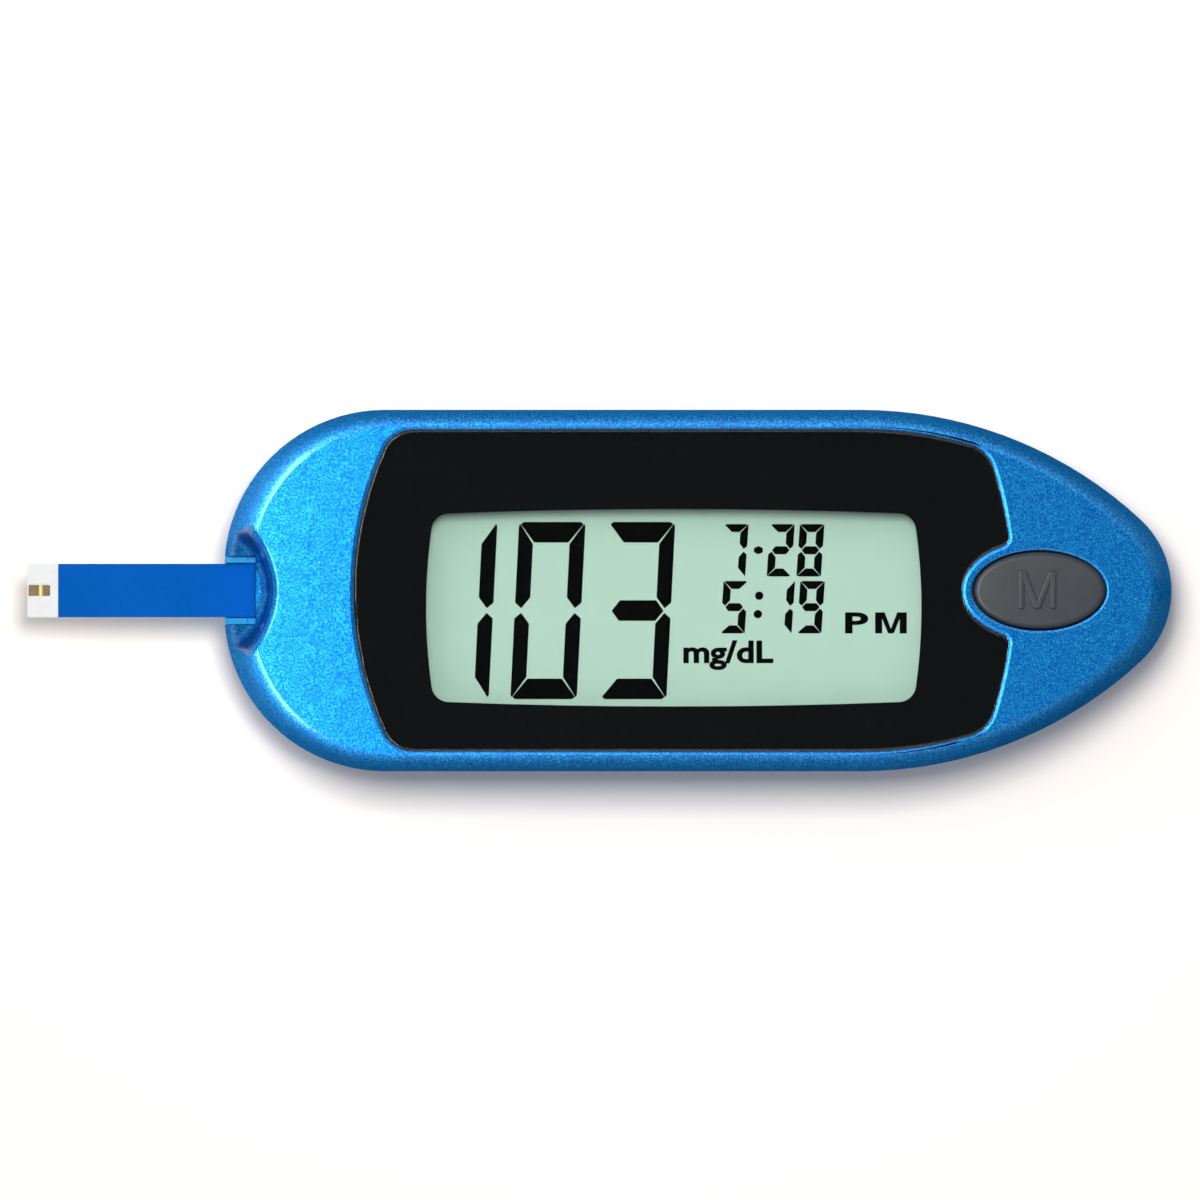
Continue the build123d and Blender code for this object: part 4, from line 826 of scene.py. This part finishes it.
# the eye sees a white floor, drawn slightly warm against the blue cast of the shadow, which it still takes
white = add(tree, "ShaderNodeMix", {"data_type": "RGBA"}, i0=ray.outputs["Is Camera Ray"], i6=white,
            i7=(1.17, 1.10, 1.03, 1.0)).outputs[2]
board = add(tree, "ShaderNodeBsdfDiffuse", None, Color=white)
add(tree, "ShaderNodeOutputMaterial", None, Surface=board.outputs[0])
floor.data.materials.append(finish)

world = bpy.data.worlds.new("studio")
bpy.context.scene.world = world
world.use_nodes = True
tree = world.node_tree
tree.nodes.clear()
way = add(tree, "ShaderNodeTexCoord").outputs["Generated"]
across, ahead, up = add(tree, "ShaderNodeSeparateXYZ", None, Vector=way).outputs
# two long banks of light with a dark gap overhead between them, both dimmer to the right and low down
place = add(tree, "ShaderNodeMapRange", None, Value=ahead, i1=-1.0, i2=1.0).outputs[0]
banks = add(tree, "ShaderNodeValToRGB", {"stops": [
    (0.1, grey(0.25)), (0.25, grey(0.72)), (0.43, grey(0.72)), (0.47, grey(0.03)), (0.53, grey(0.03)),
    (0.57, grey(1.25)), (0.78, grey(1.25)), (0.92, grey(0.35))]}, Fac=place).outputs[0]
right = add(tree, "ShaderNodeMapRange", None, Value=across, i1=-0.05, i2=0.45, i3=1.0, i4=0.3).outputs[0]
high = add(tree, "ShaderNodeMapRange", None, Value=up, i1=0.1, i2=0.7, i3=0.12, i4=1.0).outputs[0]
dim = add(tree, "ShaderNodeMath", {"operation": "MULTIPLY"}, i0=right, i1=high).outputs[0]
tent = add(tree, "ShaderNodeMix", {"data_type": "RGBA", "blend_type": "MULTIPLY"}, i0=1.0, i6=banks,
           i7=dim).outputs[2]
# the eye, and what glass and metal show it, sees a white backdrop near the horizon
ray = add(tree, "ShaderNodeLightPath")
seen = add(tree, "ShaderNodeMath", {"operation": "MAXIMUM"}, i0=ray.outputs["Is Camera Ray"],
           i1=ray.outputs["Is Transmission Ray"]).outputs[0]
seen = add(tree, "ShaderNodeMath", {"operation": "MAXIMUM"}, i0=seen,
           i1=ray.outputs["Is Glossy Ray"]).outputs[0]
low = add(tree, "ShaderNodeMath", {"operation": "LESS_THAN"}, i0=up, i1=0.06).outputs[0]
seen = add(tree, "ShaderNodeMath", {"operation": "MULTIPLY"}, i0=seen, i1=low).outputs[0]
shade = add(tree, "ShaderNodeMix", {"data_type": "RGBA"}, i0=seen, i6=tent, i7=grey(1.0)).outputs[2]
sky = add(tree, "ShaderNodeBackground", None, Color=shade, Strength=1.0)
add(tree, "ShaderNodeOutputWorld", None, Surface=sky.outputs[0])


def softbox(name, place, aim, width, depth, power, glossy, diffuse):
    """A soft lamp, with its place, aim and size in metres, and what it lights."""
    lamp = bpy.data.lights.new(name, "AREA")
    lamp.shape = "RECTANGLE"
    lamp.size = width
    lamp.size_y = depth
    lamp.energy = power
    made = bpy.data.objects.new(name, lamp)
    made.location = place
    made.rotation_euler = (Vector(aim) - Vector(place)).to_track_quat("-Z", "Y").to_euler()
    made.visible_glossy = glossy
    made.visible_transmission = glossy
    made.visible_diffuse = diffuse
    bpy.context.scene.collection.objects.link(made)


# one lamp lights the colours and isn't mirrored, and one to the left only gleams in the lacquer
softbox("key_softbox", (-0.01, 0.05, 0.30), (-0.01, 0, 0.01), 0.08, 0.08, 0.55, False, True)
softbox("side_softbox", (-0.125, 0.01, 0.22), (-0.01, 0.01, 0.01), 0.26, 0.05, 0.43, True, False)

# a long lens straight above, whose view is this wide at this height
plane_z = 8 * MM
view_width = 108.8 * MM
view_x = -8.86 * MM
view_y = -0.86 * MM
camera = bpy.data.cameras.new("camera")
camera.sensor_width = 36
camera.lens = 400
camera_object = bpy.data.objects.new("camera", camera)
camera_object.location = (view_x, view_y, plane_z + view_width * camera.lens / camera.sensor_width)
bpy.context.scene.collection.objects.link(camera_object)
bpy.context.scene.camera = camera_object
bpy.context.scene.view_settings.view_transform = "Standard"
